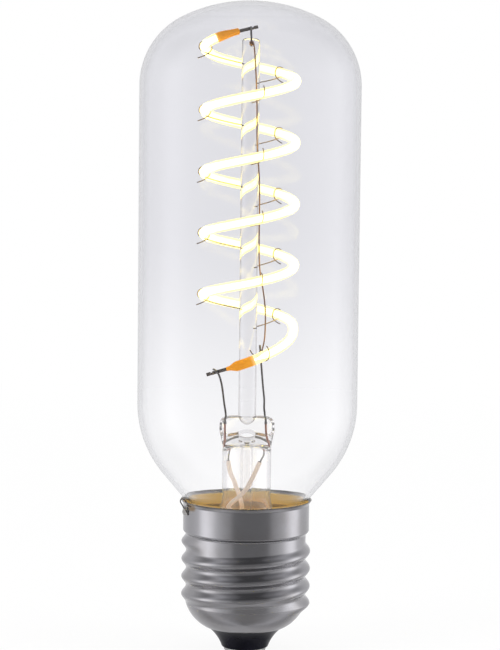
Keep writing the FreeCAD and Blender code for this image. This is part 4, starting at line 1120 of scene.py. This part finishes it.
outer_right = [(3.7, 0, 41.6), (3.7, 0, 40.8), (2.55, -1.6, 39.1), (1.55, -2.5, 36.9), (0.5, -3.05, 34.8),
               (-1.2, -3.2, 32.8), (-3.0, -2.85, 31.1), (-4.1, -2.6, 29.2), (-4.5, -2.3, 26.4),
               (-4.1, -1.6, 23.2), (-2.8, -0.5, 20.5), (-2.6, 0.03, 18.6), (-2.6, 0.03, 16.6)]
seal_left = [LEFT_SEAL, (-4.3, 0, 45.4), (-3.7, 0, 42.6), outer_left[0]]
seal_right = [RIGHT_SEAL, (3.655, 0, 45.4), (3.7, 0, 42.6), outer_right[0]]
wire("lead_wire_left", lead_left, 0.2, lead_metal, "lead_inner_left")
wire("lead_wire_right", lead_right, 0.2, lead_metal, "lead_inner_right")
wire("sealed_wire_left", seal_left, 0.2, dumet, "seal_wire_left")
wire("sealed_wire_right", seal_right, 0.2, dumet, "seal_wire_right")
wire("tail_wire_left", outer_left, 0.17, lead_metal, "lead_outer_left")
wire("tail_wire_right", outer_right, 0.17, lead_metal, "lead_outer_right")

# %% Wires at the rod: the one that climbs beside it, and the post on its top
beside, front = ROD_RADIUS + 0.37, -ROD_RADIUS - 0.25
climb = [around(-75, beside - 0.02, ROD_TOP - 1.2), around(-70, beside + 0.03, ROD_TOP - 2.6),
         around(-64, beside, ROD_TOP - 5.2), around(-51.5, beside, ROD_TOP - 12.2),
         around(-49.7, beside, ROD_TOP - 22.2), around(-27.8, beside, foot + 31.5),
         around(-18.4, beside + 0.04, foot + 25.0), around(-21.8, beside, foot + 18.0),
         around(-18, beside + 0.09, foot + 11.5), (2.95, -0.8, foot + 7.6), (3.5, -0.8, foot + 3.5),
         (3.5, -0.8, foot - 0.5), (3.35, -0.8, foot - 3.3), (2.85, -0.65, foot - 5.1)]
post = [(0, 0, ROD_TOP + 2.5), (0, 0, ROD_TOP + 1.3), (0.05, -0.8, ROD_TOP + 0.65),
        (0.1, front, ROD_TOP - 0.2), (0.1, front, ROD_TOP - 1.1), (0.1, front + 0.75, ROD_TOP - 1.6)]
wire("climbing_wire", climb, 0.15, copper, "return_wire")
wire("post_wire", post, 0.2, lead_metal, "top_post")

# %% Sleeves over the lower leads
for name, points, node in (("sleeve_soft_left", outer_left[2:9], "sleeve_left"),
                           ("sleeve_soft_right", outer_right[2:10], "sleeve_right")):
    sleeve = wire(name, points, 0.43, fibre, node, sides=24, step=0.25)
    print(name, "faces:", len(sleeve.data.polygons))

# %% Beads of weld metal and solder
def bead(name, place, sizes, material, wobble, turn=0.0, nodes=()):
    """A drop of metal: a smooth ball stretched to its sizes, with a little unevenness."""
    mesh = bpy.data.meshes.new(name)
    work = bmesh.new()
    bmesh.ops.create_icosphere(work, subdivisions=4, radius=1)
    for vert in work.verts:
        x, y, z = vert.co
        lump = 1 + wobble * math.sin(3.1 * x + 1.3) * math.cos(2.7 * y + 4 * z)
        stretched = vert.co * Vector(sizes) * lump
        stretched.rotate(Quaternion((0, 0, 1), math.radians(turn)))
        vert.co = (Vector(place) + stretched) * MM
    work.to_mesh(mesh)
    work.free()
    return piece(name, mesh, material, nodes)


bead("weld_knot_left", LEFT_SEAL, (0.32, 0.3, 0.26), lead_metal, 0.2)
bead("weld_knot_right", RIGHT_SEAL, (0.27, 0.27, 0.26), lead_metal, 0.2)
bead("sleeve_knot_left", (-3.68, -0.92, 39.2), (0.33, 0.3, 0.3), lead_metal, 0.3)
bead("sleeve_knot_right", (2.6, -1.55, 39.15), (0.33, 0.3, 0.3), lead_metal, 0.3)
bead("rod_top_bead", (0.15, -2.1, 124.1), (0.5, 0.42, 0.5), copper, 0.1)
solder = bead("side_solder_drop", around(199, COLLAR_RADIUS + 0.02, 29.4), (0.62, 1.25, 0.95), tin,
              0.25, turn=199, nodes=["side_solder"])
print("bead faces:", len(solder.data.polygons))

# %% Wire that comes out over the cap's rim, under the solder
side = [(-5.4, 0.08, 15.6), (-5.4, 0.08, 18.4)] + [around(198, *place) for place in (
    (8.5, 22.3), (11.2, 24.4), (12.25, 25.7), (12.25, 29.7), (12.45, 30.8), (13.3, 31.89), (13.95, 31.95),
    (14.15, 31.3), (13.45, 30.4), (13.1, 29.2))]
side_wire = wire("side_contact_wire", side, 0.12, lead_metal, "side_wire")
print("side wire faces:", len(side_wire.data.polygons))

# %% [markdown]
# ## Pieces that keep their CAD shape
#
# The cement, the contact's wire, the strand's terminal strips and the driver are plain enough that their
# CAD shapes are right as they are. They only need their finishes.

# %% Finishes for the CAD pieces that stay
kept = {
    "basing_cement": cement,
    "contact_wire": lead_metal,
    "filament_terminal_bottom": strip_metal,
    "filament_terminal_top": strip_metal,
    "driver_board": laminate,
    "bridge_rectifier": moulding,
    "driver_chip": moulding,
    "smoothing_capacitor": can_skin,
    "fuse_resistor": lacquer,
}
for node, material in kept.items():
    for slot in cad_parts[node].material_slots:
        slot.material = material
print("CAD pieces that stay:", len(kept))

# %% [markdown]
# ## Floor
#
# A pale floor carries the bulb's shadow. The camera, and rays through glass, see it almost white near the
# bulb and wholly white further off, so that it runs on into the background without an edge. Rays mirrored
# by the cap pass through it further off and meet the studio, as they would over a small table.

# %% Floor
FLOOR_HALF_SIZE = 3.0
NEAR_WHITE, WHITE_FROM, WHITE_TO = 0.92, 0.08, 0.45
GONE_FROM, GONE_TO = -0.08, 0.10


def make_paper():
    """White paper that fades into pure white for the camera, and into nothing for mirrored rays."""
    material, tree, shader = finish("white_paper", (0.9, 0.9, 0.9), roughness=0.9)
    away = tree.vector("LENGTH", tree.place())
    whiter = tree.span(away, WHITE_FROM, WHITE_TO, to_low=NEAR_WHITE)
    share = tree.math("MULTIPLY", straight_view(tree), whiter)
    paper = tree.choose(share, shader.outputs[0], tree.node("ShaderNodeEmission").outputs[0])
    glossy_depth = tree.node("ShaderNodeLightPath").outputs["Glossy Depth"]
    mirrored = tree.math("MINIMUM", glossy_depth, 1)
    gone = tree.span(away, GONE_FROM, GONE_TO, to_high=mirrored, kind="SMOOTHSTEP")
    surface = tree.choose(gone, paper, tree.node("ShaderNodeBsdfTransparent").outputs[0])
    tree.fill_named(tree.nodes["Material Output"], Surface=surface)
    return material


def make_floor():
    mesh = bpy.data.meshes.new("floor")
    work = bmesh.new()
    bmesh.ops.create_grid(work, x_segments=1, y_segments=1, size=FLOOR_HALF_SIZE)
    work.to_mesh(mesh)
    work.free()
    mesh.materials.append(make_paper())
    floor = put_out("floor", mesh)
    return floor


print("floor in metres:", [round(size, 1) for size in make_floor().dimensions])
